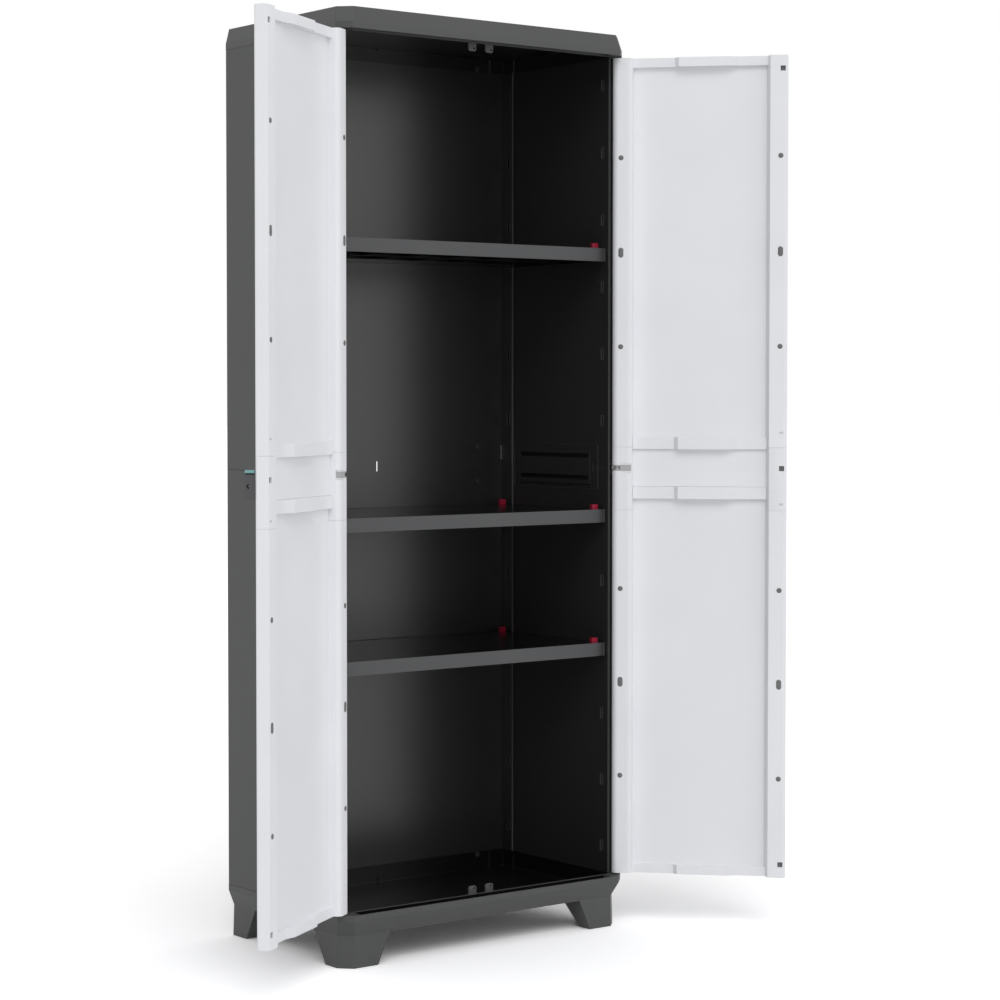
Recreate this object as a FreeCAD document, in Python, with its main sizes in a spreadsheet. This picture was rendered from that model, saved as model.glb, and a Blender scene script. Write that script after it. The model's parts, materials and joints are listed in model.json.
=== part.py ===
"""Garden storage cabinet: resin body on four feet, three shelves and two hinged doors.

Millimetres. X runs to the right across the front, Y to the back and Z up. The origin lies on the
floor under the middle of the cabinet. The doors are stored open, turned about their pivot pins.
"""
import FreeCAD, Part
import math
import os
import Sketcher

SIZES = [
    # The whole cabinet
    ("cabinet_width", 680),
    ("cabinet_depth", 400),
    ("cabinet_height", 1755),
    ("resin_skin", 3),
    ("fit_gap", 0.3),
    ("cut_over", 1),
    ("corner_cut", 23),
    ("rear_corner_cut", 2),
    ("back_thickness", 22),
    # Base, feet and roof
    ("foot_height", 60),
    ("base_height", 41),
    ("roof_height", 40),
    ("rim_band", 12),
    ("base_side_inset", 11),
    ("base_front_inset", 13.5),
    ("base_back_inset", 1.5),
    ("roof_inset", 6.5),
    ("roof_back_inset", 1.5),
    ("roof_shell", 4),
    ("roof_rib_drop", 8),
    ("roof_ribs", 5),
    ("floor_plate", 3),
    ("floor_rib", 4),
    ("floor_columns", 4),
    ("floor_rows", 3),
    ("cell_margin", 8),
    ("cell_front_margin", 16),
    ("sill_depth", 34.5),
    ("channel_lip", 4),
    ("channel_width", 24),
    ("channel_depth", 9),
    ("channel_end", 40),
    ("socket_width", 39),
    ("socket_reach", 35),
    ("foot_top_width", 102),
    ("foot_bottom_width", 77),
    ("foot_side_inset", 9),
    ("front_foot_top_depth", 104.5),
    ("front_foot_bottom_depth", 61),
    ("rear_foot_top_depth", 79),
    ("rear_foot_bottom_depth", 50),
    ("foot_inner_cut", 28),
    ("front_foot_top_cut", 46),
    # Side walls
    ("wall_thickness", 18),
    ("door_recess", 41),
    ("wall_inner_lip", 5),
    ("wall_channel_depth", 11),
    ("wall_web", 4),
    ("wall_cavities", 5),
    # Clip slots, in columns counted from the middle seam
    ("slot_width", 6),
    ("slot_height", 22),
    ("slot_first", 92.5),
    ("slot_pitch", 132.5),
    ("slots_per_half", 6),
    ("front_slot_setback", 19),
    ("rear_slot_setback", 21),
    ("seam_slot_setback", 44),
    ("seam_slot_width", 4),
    ("seam_slot_reach", 10),
    # Joiner between the wall halves
    ("joiner_length", 229),
    ("joiner_height", 70),
    ("joiner_proud", 3),
    ("joiner_front_setback", 53),
    ("joiner_border", 3.3),
    ("joiner_slot_height", 8),
    ("joiner_slot_margin", 9),
    ("joiner_slot_end", 5),
    # Back panel
    ("flange_thickness", 3.8),
    ("flange_reach", 33),
    ("back_rib_depth", 16),
    ("back_rib_spacing", 127),
    ("back_ribs", 4),
    ("light_slot_height", 30),
    ("light_slot_width", 5),
    ("light_slot_inset", 6.5),
    ("light_slot_above", 9),
    ("peg_inset", 70),
    ("peg_rim_offset", 5),
    ("peg_seam_offset", 36),
    ("peg_half", 3.3),
    ("peg_head_radius", 5.5),
    ("peg_head", 2),
    ("peg_length", 8),
    ("base_slot_height", 9),
    ("roof_slot_height", 13),
    # Shelves
    ("shelf_lip", 26),
    ("shelf_side_gap", 1.5),
    ("shelf_front_setback", 8),
    ("shelf_back_gap", 8),
    ("shelf_margin", 32.5),
    ("shelf_corner", 6),
    ("shelf_columns", 6),
    ("shelf_rows", 3),
    ("shelf_corner_block", 30),
    ("shelf_end_post", 4.5),
    ("shelf_nick_width", 8),
    ("shelf_nick_depth", 3),
    ("shelf_above_slot", 9.5),
    ("bottom_shelf_step", 2),
    ("middle_shelf_step", 0),
    ("top_shelf_step", 2.5),
    # Clips under the shelves
    ("clip_width", 12),
    ("clip_room", 0.8),
    ("clip_plate", 4),
    ("clip_plate_top", 4),
    ("clip_drop", 22),
    ("clip_seat", 12),
    ("clip_arm", 4),
    ("clip_arm_width", 8),
    ("clip_hook_height", 10),
    ("clip_peg_inset", 28),
    ("clip_peg_width", 14),
    ("clip_peg_rise", 10),
    # Doors, as distances from the pivot axis
    ("pivot_side_inset", 8),
    ("pivot_front_inset", 22),
    ("door_inner", 12),
    ("door_outer", 13),
    ("door_meeting_gap", 2.4),
    ("door_end_gap", 3),
    ("left_open_angle", 147.8),
    ("right_open_angle", 133.3),
    ("hinge_stile", 27),
    ("hinge_round", 10),
    ("hinge_ramp", 1.5),
    ("hinge_core_reach", 2),
    ("free_stile", 34),
    ("free_ramp", 8),
    ("free_inner_cut", 4),
    ("free_outer_cut", 4),
    ("stile_wall", 3.3),
    ("stile_end", 34),
    ("end_rail_height", 18),
    ("rail_height", 24),
    ("rail_thickness", 8),
    ("rail_seam_offset", 37),
    ("pad_start", 110),
    ("pad_width", 92),
    ("pad_rise", 8),
    ("pad_near_ramp", 8),
    ("pad_far_ramp", 24),
    ("coupler_above", 41),
    ("coupler_below", 83),
    ("coupler_plate", 3),
    ("spigot_length", 25),
    ("square_hole", 10),
    ("square_hole_inset", 9.5),
    ("square_hole_end", 26),
    ("square_hole_depth", 8),
    # Snap pegs in the stiles
    ("stile_peg_radius", 4.2),
    ("stile_peg_length", 6),
    ("stile_peg_proud", 0.6),
    ("stile_peg_far", 609),
    ("stile_peg_near", 238.5),
    ("stile_peg_long", 423.2),
    ("long_peg_height", 18),
    ("hinge_peg_across", 5.6),
    ("free_peg_inset", 13.3),
    # Pivot pins and middle hinges
    ("pin_radius", 3),
    ("pin_clearance", 0.05),
    ("pin_end_room", 2),
    ("pin_in_door", 20),
    ("pin_in_rim", 8),
    ("pin_collar_radius", 6),
    ("knuckle_radius", 7),
    ("knuckle_height", 10),
    ("ear_height", 2.7),
    ("leaf_length", 18),
    ("leaf_thickness", 8),
    ("leaf_start", 7.5),
    ("bracket_arm_width", 8),
    ("bracket_arm_height", 6),
    ("bracket_foot_height", 30),
    # Catches behind the closed doors
    ("catch_across", 20),
    ("catch_width", 18),
    ("catch_thickness", 3.4),
    ("catch_reach", 15),
    ("catch_seat", 20),
    ("catch_round", 5),
    ("catch_hole_radius", 2),
    ("catch_hole_inset", 5),
    # Handles
    ("handle_low", 33.5),
    ("handle_high", 17),
    ("handle_plate", 3),
    ("handle_plate_width", 28),
    ("handle_edge_gap", 6),
    ("tab_thickness", 8),
    ("tab_inset", 8),
    ("tab_reach", 24),
    ("tab_round", 5),
    ("lock_hole_radius", 4),
    ("lock_hole_out", 15.5),
    ("lock_hole_below", 19),
    ("groove_height", 3.5),
    ("groove_depth", 2.5),
    ("strip_height", 5),
    ("strip_reach", 20),
    ("strip_overhang", 0.6),
    ("strip_round", 3),
]

ROOT_TWO = math.sqrt(2)
PLANE_SIGN = {"XY_Plane": 1, "XZ_Plane": -1, "YZ_Plane": 1}

doc = FreeCAD.newDocument("GardenStorageCabinet")
sheet = doc.addObject("Spreadsheet::Sheet", "Sizes")


class Size:
    """A size that knows its number and the sheet formula that it comes from."""

    def __init__(self, number, formula):
        self.number = number
        self.formula = formula

    def __add__(self, other):
        other = as_size(other)
        return Size(self.number + other.number, f"({self.formula} + {other.formula})")

    def __sub__(self, other):
        other = as_size(other)
        return Size(self.number - other.number, f"({self.formula} - {other.formula})")

    def __mul__(self, other):
        other = as_size(other)
        return Size(self.number * other.number, f"({self.formula} * {other.formula})")

    def __truediv__(self, other):
        other = as_size(other)
        return Size(self.number / other.number, f"({self.formula} / {other.formula})")

    def __neg__(self):
        return self * -1

    def __radd__(self, other):
        return as_size(other) + self

    def __rsub__(self, other):
        return as_size(other) - self

    def __rmul__(self, other):
        return as_size(other) * self


def as_size(value):
    """Gives a plain number the form of a size."""
    if isinstance(value, Size):
        return value
    return Size(float(value), f"({value!r})")


def fill_sheet():
    """Writes every driving size into the sheet and returns them by name."""
    sizes = {}
    for row, (name, number) in enumerate(SIZES, start=1):
        sheet.set(f"A{row}", name)
        sheet.set(f"B{row}", str(number))
        sheet.setAlias(f"B{row}", name)
        sizes[name] = Size(float(number), f"Sizes.{name}")
    doc.recompute()
    return sizes


class Places:
    """The driving sizes as attributes, and the places that follow from them."""

    def __init__(self, sizes):
        self.__dict__.update(sizes)
        self.side = self.cabinet_width / 2
        self.front = -self.cabinet_depth / 2
        self.back = self.cabinet_depth / 2
        self.base_top = self.foot_height + self.base_height
        self.roof_bottom = self.cabinet_height - self.roof_height
        self.seam = (self.base_top + self.roof_bottom) / 2
        self.tray_floor = self.foot_height + self.floor_rib + self.floor_plate
        self.ceiling = self.cabinet_height - self.roof_shell
        self.inner_side = self.side - self.wall_thickness
        self.inner_back = self.back - self.back_thickness
        self.wall_front = self.front + self.door_recess
        self.sill_rear = self.front + self.sill_depth
        self.front_slot = self.wall_front + self.front_slot_setback
        self.rear_slot = self.inner_back - self.rear_slot_setback
        self.back_peg_across = self.inner_side - self.peg_inset
        self.flange_face = self.inner_side - self.fit_gap - self.flange_thickness
        self.flange_front = self.inner_back - self.flange_reach
        self.pivot_across = self.side - self.pivot_side_inset
        self.pivot_along = self.front + self.pivot_front_inset
        self.door_top = self.roof_bottom - self.door_end_gap
        self.door_bottom = self.base_top + self.door_end_gap
        self.door_reach = self.pivot_across - self.door_meeting_gap / 2
        self.panel = self.resin_skin - self.door_outer
        self.hinge_foot = self.hinge_stile + self.hinge_ramp
        self.free_face = self.door_reach - self.free_stile
        self.free_foot = self.free_face - self.free_ramp
        self.hole_radius = self.pin_radius + self.pin_clearance
        self.knuckle_low = self.seam - self.knuckle_height / 2
        self.leaf_low = self.knuckle_low - self.fit_gap - self.ear_height
        self.leaf_height = self.knuckle_height + (self.ear_height + self.fit_gap) * 2


def new_body(name):
    """Starts one sub-part, whose label names its file."""
    body = doc.addObject("PartDesign::Body", name)
    body.Label = name
    return body


def origin_part(body, role):
    """Finds an axis or a plane of a body's own origin."""
    return next(item for item in body.Origin.OriginFeatures if item.Role == role)


def sketch_at(body, plane, level, name):
    """Opens a sketch parallel to one of the body's planes, at a level along its normal axis."""
    sketch = body.newObject("Sketcher::SketchObject", name)
    sketch.AttachmentSupport = [(origin_part(body, plane), "")]
    sketch.MapMode = "FlatFace"
    offset = as_size(level) * PLANE_SIGN[plane]
    sketch.setExpression("AttachmentOffset.Base.z", offset.formula)
    return sketch


def bind(sketch, constraint, size):
    """Adds a constraint whose value comes from the sheet."""
    index = sketch.addConstraint(constraint)
    sketch.setExpression(f"Constraints[{index}]", size.formula)


def fix_point(sketch, geometry, end, across, up):
    """Fixes one point of a sketch by its two distances from the origin."""
    across = as_size(across)
    up = as_size(up)
    right = Sketcher.Constraint("DistanceX", -1, 1, geometry, end, across.number)
    bind(sketch, right, across)
    height = Sketcher.Constraint("DistanceY", -1, 1, geometry, end, up.number)
    bind(sketch, height, up)


def corner_arc(point, before, after, radius):
    """Makes the arc that rounds a corner, and says which of its ends comes first."""
    half = before.getAngle(after) / 2
    centre = point + (before + after).normalize() * (radius / math.sin(half))
    reach = radius / math.tan(half)
    first = point + before * reach - centre
    last = point + after * reach - centre
    start = math.atan2(first.y, first.x)
    stop = math.atan2(last.y, last.x)
    turns_left = (before.x * after.y - before.y * after.x) < 0
    circle = Part.Circle(centre, FreeCAD.Vector(0, 0, 1), radius)
    if turns_left:
        return Part.ArcOfCircle(circle, start, stop), 1, 2
    return Part.ArcOfCircle(circle, stop, start), 2, 1


def outline(sketch, corners):
    """Draws a closed outline. A corner is (across, up), or (across, up, radius) where rounded."""
    count = len(corners)
    places = [(as_size(corner[0]), as_size(corner[1])) for corner in corners]
    radii = [as_size(corner[2]) if len(corner) == 3 else None for corner in corners]
    points = [FreeCAD.Vector(across.number, up.number, 0) for across, up in places]
    into, out = [], []
    for i, point in enumerate(points):
        into.append((points[i - 1] - point).normalize())
        out.append((points[(i + 1) % count] - point).normalize())
    arrive, leave = [], []
    for i, point in enumerate(points):
        reach = 0
        if radii[i] is not None:
            reach = radii[i].number / math.tan(into[i].getAngle(out[i]) / 2)
        arrive.append(point + into[i] * reach)
        leave.append(point + out[i] * reach)
    lines = []
    for i in range(count):
        line = Part.LineSegment(leave[i], arrive[(i + 1) % count])
        lines.append(sketch.addGeometry(line))
    for i, (across, up) in enumerate(places):
        incoming, outgoing = lines[i - 1], lines[i]
        if radii[i] is None:
            sketch.addConstraint(Sketcher.Constraint("Coincident", incoming, 2, outgoing, 1))
            fix_point(sketch, outgoing, 1, across, up)
            continue
        arc, first, last = corner_arc(points[i], into[i], out[i], radii[i].number)
        arc = sketch.addGeometry(arc)
        tip = sketch.addGeometry(Part.Point(points[i]), True)
        fix_point(sketch, tip, 1, across, up)
        sketch.addConstraint(Sketcher.Constraint("PointOnObject", tip, 1, incoming))
        sketch.addConstraint(Sketcher.Constraint("PointOnObject", tip, 1, outgoing))
        sketch.addConstraint(Sketcher.Constraint("Tangent", incoming, 2, arc, first))
        sketch.addConstraint(Sketcher.Constraint("Tangent", arc, last, outgoing, 1))
        bind(sketch, Sketcher.Constraint("Radius", arc, radii[i].number), radii[i])


def rectangle(sketch, left, low, right, high):
    """Draws an upright rectangle between two corners."""
    outline(sketch, [(left, low), (right, low), (right, high), (left, high)])


def square(sketch, across, up, half):
    """Draws a square about a fixed middle."""
    rectangle(sketch, across - half, up - half, across + half, up + half)


def cut_hole(sketch, across, up, width, height):
    """Draws an upright slot with cut corners about a fixed middle."""
    half = width / 2
    cut = half / 2
    rise = height / 2
    outline(sketch, [
        (across - half, up + cut - rise), (across + cut - half, up - rise),
        (across + half - cut, up - rise), (across + half, up + cut - rise),
        (across + half, up + rise - cut), (across + half - cut, up + rise),
        (across + cut - half, up + rise), (across - half, up + rise - cut)])


def round_hole(sketch, across, up, radius):
    """Draws a circle about a fixed centre."""
    radius = as_size(radius)
    centre = FreeCAD.Vector(as_size(across).number, as_size(up).number, 0)
    circle = Part.Circle(centre, FreeCAD.Vector(0, 0, 1), radius.number)
    circle = sketch.addGeometry(circle)
    fix_point(sketch, circle, 3, across, up)
    bind(sketch, Sketcher.Constraint("Radius", circle, radius.number), radius)


def long_hole(sketch, across, up, width, height):
    """Draws an upright slot with round ends about a fixed middle."""
    radius = as_size(width) / 2
    half = (as_size(height) - width) / 2
    across = as_size(across)
    up = as_size(up)
    normal = FreeCAD.Vector(0, 0, 1)
    high = FreeCAD.Vector(across.number, up.number + half.number, 0)
    low = FreeCAD.Vector(across.number, up.number - half.number, 0)
    reach = FreeCAD.Vector(radius.number, 0, 0)
    top = sketch.addGeometry(Part.ArcOfCircle(Part.Circle(high, normal, radius.number), 0, math.pi))
    left = sketch.addGeometry(Part.LineSegment(high - reach, low - reach))
    bottom = Part.ArcOfCircle(Part.Circle(low, normal, radius.number), math.pi, 2 * math.pi)
    bottom = sketch.addGeometry(bottom)
    right = sketch.addGeometry(Part.LineSegment(low + reach, high + reach))
    for first, second in ((top, left), (left, bottom), (bottom, right), (right, top)):
        sketch.addConstraint(Sketcher.Constraint("Tangent", first, 2, second, 1))
    fix_point(sketch, top, 3, across, up + half)
    fix_point(sketch, bottom, 3, across, up - half)
    bind(sketch, Sketcher.Constraint("Radius", top, radius.number), radius)


def plane_of(sketch):
    """Names the origin plane that a sketch lies on."""
    return sketch.AttachmentSupport[0][0].Role


def pad(body, sketch, length, toward, name):
    """Grows a sketch into solid, towards the positive or negative axis."""
    feature = body.newObject("PartDesign::Pad", name)
    feature.Profile = sketch
    feature.setExpression("Length", as_size(length).formula)
    feature.Reversed = toward * PLANE_SIGN[plane_of(sketch)] < 0
    body.Tip = feature
    return feature


def pocket(body, sketch, depth, toward, name):
    """Cuts a sketch into the solid, towards the positive or negative axis."""
    feature = body.newObject("PartDesign::Pocket", name)
    feature.Profile = sketch
    feature.setExpression("Length", as_size(depth).formula)
    feature.Reversed = toward * PLANE_SIGN[plane_of(sketch)] > 0
    body.Tip = feature
    return feature


def loft(body, first, second, name):
    """Joins two outlines with as many corners by flat, tapering sides."""
    feature = body.newObject("PartDesign::AdditiveLoft", name)
    feature.Profile = first
    feature.Sections = [second]
    feature.Ruled = True
    body.Tip = feature
    return feature


def repeat(body, feature, axis, spacing, count, name, toward=1):
    """Repeats a feature in a row. Its spacing and its count come from the sheet."""
    pattern = body.newObject("PartDesign::LinearPattern", name)
    pattern.Originals = [feature]
    pattern.Direction = (origin_part(body, axis), [""])
    pattern.Mode = "Spacing"
    pattern.setExpression("Offset", as_size(spacing).formula)
    pattern.setExpression("Occurrences", as_size(count).formula)
    pattern.Reversed = toward < 0
    body.Tip = pattern
    return pattern


def repeat_grid(body, feature, axes, spacings, counts, name):
    """Repeats a feature in rows and columns."""
    pattern = repeat(body, feature, axes[0], spacings[0], counts[0], name)
    pattern.Direction2 = (origin_part(body, axes[1]), [""])
    pattern.Mode2 = "Spacing"
    pattern.setExpression("Offset2", as_size(spacings[1]).formula)
    pattern.setExpression("Occurrences2", as_size(counts[1]).formula)
    return pattern


def rim_plan(sketch, side_inset, front_inset, back_inset):
    """Plan of the base or the roof, drawn in by three insets, with its corners cut."""
    side = p.side - side_inset
    front = p.front + front_inset
    back = p.back - back_inset
    outline(sketch, [
        (p.corner_cut - side, front), (side - p.corner_cut, front),
        (side, front + p.corner_cut), (side, back - p.rear_corner_cut),
        (side - p.rear_corner_cut, back), (p.rear_corner_cut - side, back),
        (-side, back - p.rear_corner_cut), (-side, front + p.corner_cut)])


def rim_details(body, rim, toward, hollow, slot_height):
    """Cuts the hollow, sill channel, pivot holes and back fixings that base and roof share."""
    sketch = sketch_at(body, "XY_Plane", rim, "hollow_plan")
    rectangle(sketch, -p.inner_side, p.sill_rear, p.inner_side, p.inner_back)
    pocket(body, sketch, hollow, toward, "hollow")

    sketch = sketch_at(body, "XY_Plane", rim, "channel_plan")
    channel_front = p.front + p.channel_lip
    reach = p.side - p.channel_end
    rectangle(sketch, -reach, channel_front, reach, channel_front + p.channel_width)
    pocket(body, sketch, p.channel_depth, toward, "channel")

    sketch = sketch_at(body, "XY_Plane", rim, "pivot_plan")
    round_hole(sketch, -p.pivot_across, p.pivot_along, p.hole_radius)
    round_hole(sketch, p.pivot_across, p.pivot_along, p.hole_radius)
    pocket(body, sketch, p.pin_in_rim + p.pin_end_room, toward, "pivot_holes")

    sketch = sketch_at(body, "XY_Plane", rim, "socket_plan")
    skin = p.resin_skin
    for side in (-1, 1):
        outer = p.inner_side * side
        outline(sketch, [
            (outer, p.inner_back), (outer - p.socket_width * side, p.inner_back),
            (outer - p.socket_width * side, p.inner_back - skin),
            (outer - skin * side, p.inner_back - skin),
            (outer - skin * side, p.inner_back - p.socket_reach),
            (outer, p.inner_back - p.socket_reach)])
    pad(body, sketch, hollow, toward, "corner_sockets")

    sketch = sketch_at(body, "XZ_Plane", p.inner_back, "back_fixing_face")
    end = as_size(rim) + as_size(hollow) * toward
    rectangle(sketch, -p.seam_slot_width / 2, end, p.seam_slot_width / 2, end - slot_height * toward)
    for side in (-1, 1):
        peg_height = as_size(rim) + p.peg_rim_offset * toward
        square(sketch, p.back_peg_across * side, peg_height, p.peg_half)
    pocket(body, sketch, p.peg_length, 1, "back_fixings")


def foot_plan(sketch, side, inset, width, near, far, outer_cut, inner_cut, toward_middle):
    """Plan of one foot, whose outer corner and the corner that faces the middle are cut."""
    outer = (p.side - inset) * side
    inner = outer - as_size(width) * side
    outline(sketch, [
        (inner, near), (outer - as_size(outer_cut) * side, near),
        (outer, as_size(near) + as_size(outer_cut) * toward_middle), (outer, far),
        (inner + inner_cut * side, far), (inner, as_size(far) - inner_cut * toward_middle)])


def make_base():
    """Base: tray with a front sill, a ribbed underside and four tapered feet."""
    body = new_body("base")
    low = sketch_at(body, "XY_Plane", p.foot_height, "lower_plan")
    rim_plan(low, p.base_side_inset, p.base_front_inset, p.base_back_inset)
    high = sketch_at(body, "XY_Plane", p.base_top - p.rim_band, "band_plan")
    rim_plan(high, 0, 0, 0)
    loft(body, low, high, "tapered_skirt")
    band = sketch_at(body, "XY_Plane", p.base_top - p.rim_band, "rim_plan")
    rim_plan(band, 0, 0, 0)
    pad(body, band, p.rim_band, 1, "rim")

    half_span = p.side - p.base_side_inset - p.foot_top_width - p.cell_margin
    cells_front = p.sill_rear + p.cell_front_margin
    cells_back = p.inner_back - p.cell_margin
    cell_width = (half_span * 2 + p.floor_rib) / p.floor_columns - p.floor_rib
    cell_depth = (cells_back - cells_front + p.floor_rib) / p.floor_rows - p.floor_rib
    cell = sketch_at(body, "XY_Plane", p.foot_height, "underside_cell")
    rectangle(cell, -half_span, cells_front, cell_width - half_span, cells_front + cell_depth)
    cell = pocket(body, cell, p.floor_rib, 1, "underside_cell_cut")
    repeat_grid(body, cell, ("X_Axis", "Y_Axis"),
                (cell_width + p.floor_rib, cell_depth + p.floor_rib),
                (p.floor_columns, p.floor_rows), "underside_cells")

    front_edge = p.front + p.base_front_inset
    back_edge = p.back - p.base_back_inset
    for side in (-1, 1):
        feet = (
            (front_edge, p.front_foot_top_depth, p.front_foot_bottom_depth,
             p.corner_cut, p.front_foot_top_cut, 1),
            (back_edge, p.rear_foot_top_depth, p.rear_foot_bottom_depth,
             p.rear_corner_cut, p.foot_inner_cut, -1))
        for edge, top_depth, bottom_depth, cut, top_cut, toward in feet:
            top = sketch_at(body, "XY_Plane", p.foot_height, "foot_top")
            foot_plan(top, side, p.base_side_inset, p.foot_top_width,
                      edge, edge + top_depth * toward, cut, top_cut, toward)
            bottom = sketch_at(body, "XY_Plane", 0, "foot_bottom")
            foot_plan(bottom, side, p.foot_side_inset, p.foot_bottom_width,
                      edge, edge + bottom_depth * toward, cut, p.foot_inner_cut, toward)
            loft(body, top, bottom, "foot")

    rim_details(body, p.base_top, -1, p.base_top - p.tray_floor, p.base_slot_height)
    return body


def make_roof():
    """Roof: the base's form turned over, with a shallow chamfered crown and ribs inside."""
    body = new_body("roof")
    band = sketch_at(body, "XY_Plane", p.roof_bottom, "rim_plan")
    rim_plan(band, 0, 0, 0)
    pad(body, band, p.rim_band, 1, "rim")
    low = sketch_at(body, "XY_Plane", p.roof_bottom + p.rim_band, "crown_foot")
    rim_plan(low, 0, 0, 0)
    high = sketch_at(body, "XY_Plane", p.cabinet_height, "crown_top")
    rim_plan(high, p.roof_inset, p.roof_inset, p.roof_back_inset)
    loft(body, low, high, "crown")
    rim_details(body, p.roof_bottom, 1, p.ceiling - p.roof_bottom, p.roof_slot_height)

    spacing = p.inner_side * 2 / (p.roof_ribs + 1)
    rib = sketch_at(body, "XY_Plane", p.ceiling, "ceiling_rib")
    left = spacing - p.inner_side - p.resin_skin / 2
    rectangle(rib, left, p.sill_rear, left + p.resin_skin, p.inner_back)
    rib = pad(body, rib, p.roof_rib_drop, -1, "ceiling_rib_pad")
    repeat(body, rib, "X_Axis", spacing, p.roof_ribs, "ceiling_ribs")
    return body


def make_wall(side, upper):
    """Half of a side wall: twin skins with upright cavities, and slots for the clips."""
    name = ("right" if side > 0 else "left") + "_wall_" + ("upper" if upper else "lower")
    body = new_body(name)
    low = p.seam if upper else p.base_top
    height = p.seam - p.base_top
    outer = p.side * side
    inner = p.inner_side * side
    lip = (p.inner_side + p.wall_inner_lip) * side
    skin = (p.side - p.resin_skin) * side
    channel = p.wall_front + p.wall_channel_depth
    plan = sketch_at(body, "XY_Plane", low, "wall_plan")
    outline(plan, [
        (inner, p.wall_front), (lip, p.wall_front), (lip, channel), (skin, channel),
        (skin, p.wall_front), (outer, p.wall_front), (outer, p.back - p.rear_corner_cut),
        (outer - p.rear_corner_cut * side, p.back), (inner, p.back)])
    pad(body, plan, height, 1, "wall")

    cavity_front = channel + p.wall_web
    cavity_back = p.back - p.rear_corner_cut - p.wall_web
    cavity_depth = (cavity_back - cavity_front + p.resin_skin) / p.wall_cavities - p.resin_skin
    cavity = sketch_at(body, "XY_Plane", low, "cavity_plan")
    rectangle(cavity, inner + p.resin_skin * side, cavity_front, skin, cavity_front + cavity_depth)
    cavity = pocket(body, cavity, height, 1, "cavity")
    repeat(body, cavity, "Y_Axis", cavity_depth + p.resin_skin, p.wall_cavities, "cavities")

    away = 1 if upper else -1
    slot = sketch_at(body, "YZ_Plane", inner, "clip_slot")
    long_hole(slot, p.front_slot, p.seam + p.slot_first * away, p.slot_width, p.slot_height)
    slot = pocket(body, slot, p.resin_skin, side, "clip_slot_cut")
    repeat(body, slot, "Z_Axis", p.slot_pitch, p.slots_per_half, "clip_slots", away)

    face = sketch_at(body, "YZ_Plane", inner, "seam_cuts")
    seam_slot = p.wall_front + p.seam_slot_setback
    rectangle(face, seam_slot, p.seam, seam_slot + p.seam_slot_width,
              p.seam + p.seam_slot_reach * away)
    joiner_front = p.wall_front + p.joiner_front_setback + p.joiner_border
    joiner_back = p.wall_front + p.joiner_front_setback + p.joiner_length - p.joiner_border
    rectangle(face, joiner_front, p.seam, joiner_back,
              p.seam + (p.joiner_height / 2 - p.joiner_border) * away)
    if upper:
        extra = p.seam + p.slot_first + p.slot_pitch * p.top_shelf_step
        long_hole(face, p.front_slot, extra, p.slot_width, p.slot_height)
    pocket(body, face, p.resin_skin, side, "seam_cuts_through_the_skin")
    return body


def make_wall_joiner(side):
    """Joiner that plugs into both halves of a side wall, with two gripping slots."""
    body = new_body(("right" if side > 0 else "left") + "_wall_joiner")
    front = p.wall_front + p.joiner_front_setback
    back = front + p.joiner_length
    low = p.seam - p.joiner_height / 2
    high = p.seam + p.joiner_height / 2
    inner = p.inner_side * side
    face = sketch_at(body, "YZ_Plane", inner, "flange_face")
    rectangle(face, front, low, back, high)
    pad(body, face, p.joiner_proud, -side, "flange")
    border = p.joiner_border + p.fit_gap
    plug = sketch_at(body, "YZ_Plane", inner, "plug_face")
    rectangle(plug, front + border, low + border, back - border, high - border)
    pad(body, plug, p.resin_skin - p.fit_gap, side, "plug")
    slots = sketch_at(body, "YZ_Plane", inner - p.joiner_proud * side, "slot_face")
    for away in (-1, 1):
        edge = p.seam + (p.joiner_height / 2 - p.joiner_slot_margin) * away
        rectangle(slots, front + p.joiner_slot_end, edge, back - p.joiner_slot_end,
                  edge - p.joiner_slot_height * away)
    pocket(body, slots, p.joiner_proud + p.resin_skin / 2, side, "gripping_slots")
    return body


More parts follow.
